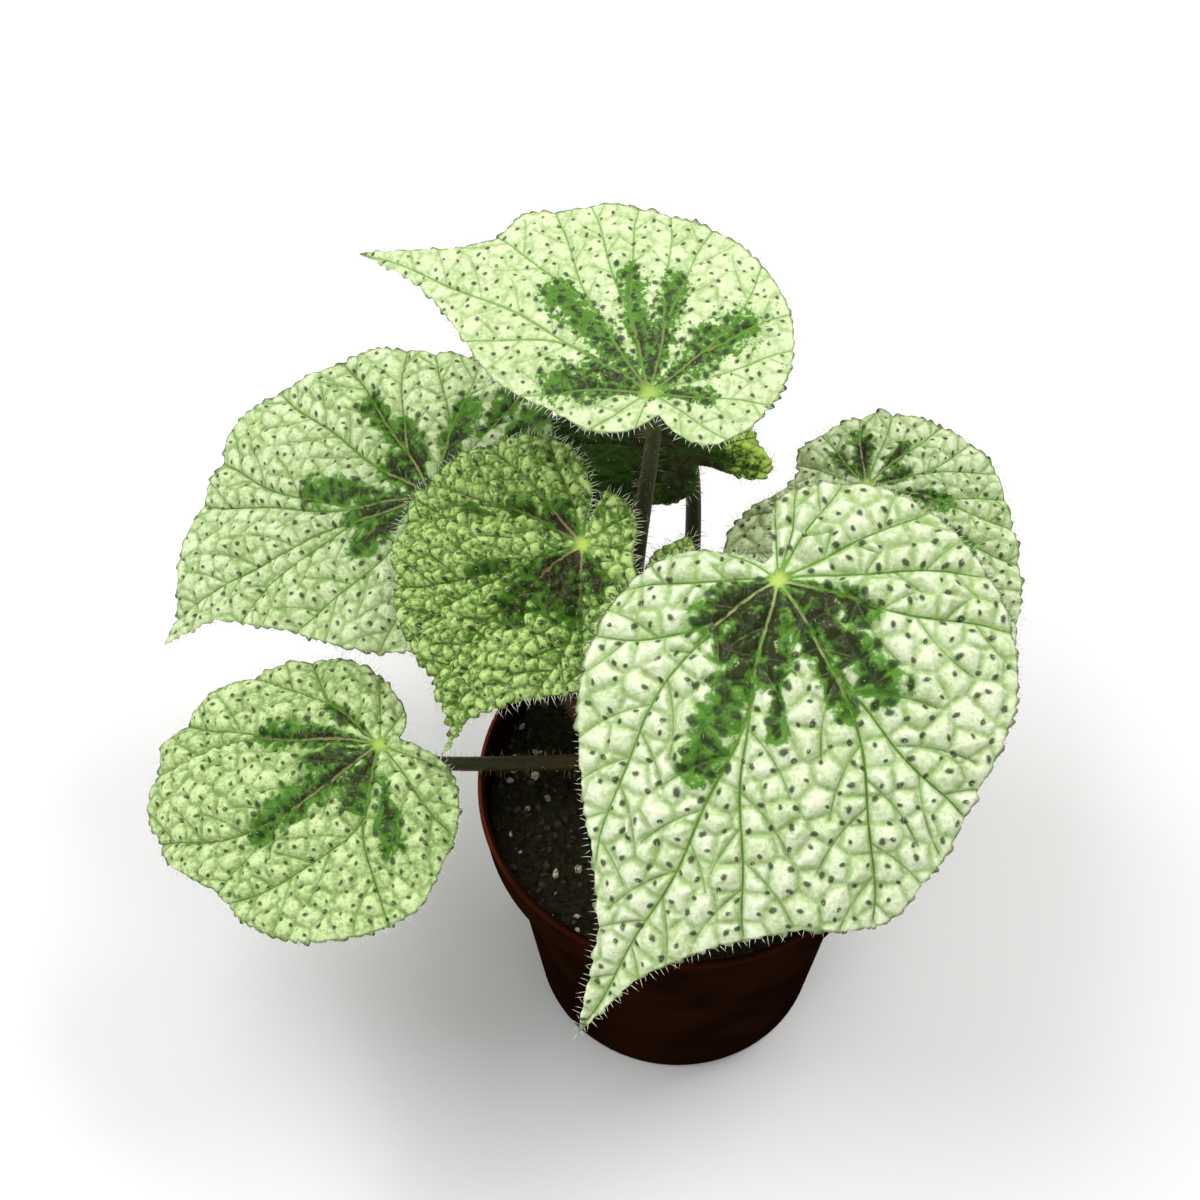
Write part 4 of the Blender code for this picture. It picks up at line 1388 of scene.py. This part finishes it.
def make_stipules(surface):
    """Curved, pointed, papery bracts beside the stalks, each of two shells joined at their edges."""
    half_width, tip_half_width, thickness = 2.3, 0.12, 0.25
    rows, sides = 14, 9
    count = rows * sides
    for number, (azimuth, elevation) in enumerate(STIPULES, start=1):
        point, out = on_rhizome(azimuth, elevation)
        turn = np.array(out.to_track_quat("Z", "Y").to_matrix())
        points = []
        for shell in (0.0, -thickness):
            for row in range(rows):
                t = row / (rows - 1)
                width = half_width * (1 - t) ** 0.7 + tip_half_width
                for column in range(sides):
                    s = column / (sides - 1) * 2 - 1
                    hollow = 0.7 * (1 - s * s) * (1 - t) + shell * (1 - 0.6 * t)
                    points.append((s * width, hollow + 0.9 * t * t - 0.3, t * STIPULE_LENGTH * 0.98))
        faces = []
        for row in range(rows - 1):
            for column in range(sides - 1):
                a = row * sides + column
                quad = (a, a + 1, a + sides + 1, a + sides)
                faces.append(tuple(reversed(quad)))
                faces.append(tuple(count + corner for corner in quad))
        ring = [row * sides for row in range(rows)]
        ring += [count - sides + column for column in range(1, sides)]
        ring += [row * sides + sides - 1 for row in range(rows - 2, -1, -1)]
        ring += [column for column in range(sides - 2, 0, -1)]
        for a, b in zip(ring, ring[1:] + ring[:1]):
            faces.append((a, b, b + count, a + count))
        base = np.array(point + out * GAP)
        points = np.array(points) @ turn.T + base
        piece(f"bract_{number}", points, faces, surface, f"stipule_{number}")


# Stage


def add_area(name, place, target, size, power, colour=(1.0, 1.0, 1.0)):
    """A square lamp that faces its target."""
    data = bpy.data.lights.new(name, "AREA")
    data.size = size
    data.energy = power
    data.color = colour
    light = bpy.data.objects.new(name, data)
    light.location = place
    way = Vector(target) - light.location
    light.rotation_euler = way.to_track_quat("-Z", "Y").to_euler()
    bpy.context.scene.collection.objects.link(light)


def make_stage():
    """The floor, the lights and the camera that looks down on the plant."""
    floor_size = 3.0
    corners = [(x * floor_size, y * floor_size, 0.0) for x, y in ((-1, -1), (1, -1), (1, 1), (-1, 1))]
    mesh = bpy.data.meshes.new("floor")
    mesh.from_pydata(corners, [], [(0, 1, 2, 3)])
    mesh.materials.append(floor_surface())
    floor = bpy.data.objects.new("floor", mesh)
    bpy.context.scene.collection.objects.link(floor)

    world = bpy.data.worlds.new("studio")
    bpy.context.scene.world = world
    world.use_nodes = True
    sky = world.node_tree.nodes["Background"]
    sky.inputs["Color"].default_value = (1.0, 1.0, 1.0, 1.0)
    sky.inputs["Strength"].default_value = 0.55
    middle = (0.0, 0.0, 0.11)
    add_area("key", (0.48, 0.28, 0.95), middle, 0.5, 5.2, (1.0, 0.99, 0.97))
    add_area("side", (-0.5, 0.1, 1.0), middle, 0.7, 6.5)
    add_area("fill", (-0.45, -0.75, 0.35), (-0.05, -0.05, 0.0), 0.6, 1.7)

    camera_data = bpy.data.cameras.new("camera")
    camera_data.sensor_width = 36.0
    camera_data.lens = 72.2
    camera = bpy.data.objects.new("camera", camera_data)
    camera.location = (-0.0202, -0.2942, 0.5819)
    camera.rotation_euler = (math.radians(34.9), 0.0, 0.0)
    bpy.context.scene.collection.objects.link(camera)
    bpy.context.scene.camera = camera
    bpy.context.scene.view_settings.view_transform = "Standard"


def main():
    make_stage()
    make_pot(pot_surface())
    make_soil(soil_surface())
    make_grains(grain_surface())
    pale_hair = hair_surface("pale hair", rgb(232, 234, 212))
    # The stalk hairs are darker than the blade hairs: partly their own brownish colour, partly painted
    # shade of the stalks they sit on.
    stalk_hair = hair_surface("stalk hair", rgb(176, 160, 122))
    make_rhizome(rhizome_surface(), stalk_hair)
    make_stipules(stipule_surface())
    skin = stalk_surface()
    for leaf in LEAVES:
        veined = Veined(leaf)
        make_blade(leaf, veined, blade_surface(leaf))
        blade_hairs(leaf, veined, pale_hair)
        make_stalk(leaf, skin, stalk_hair)


main()
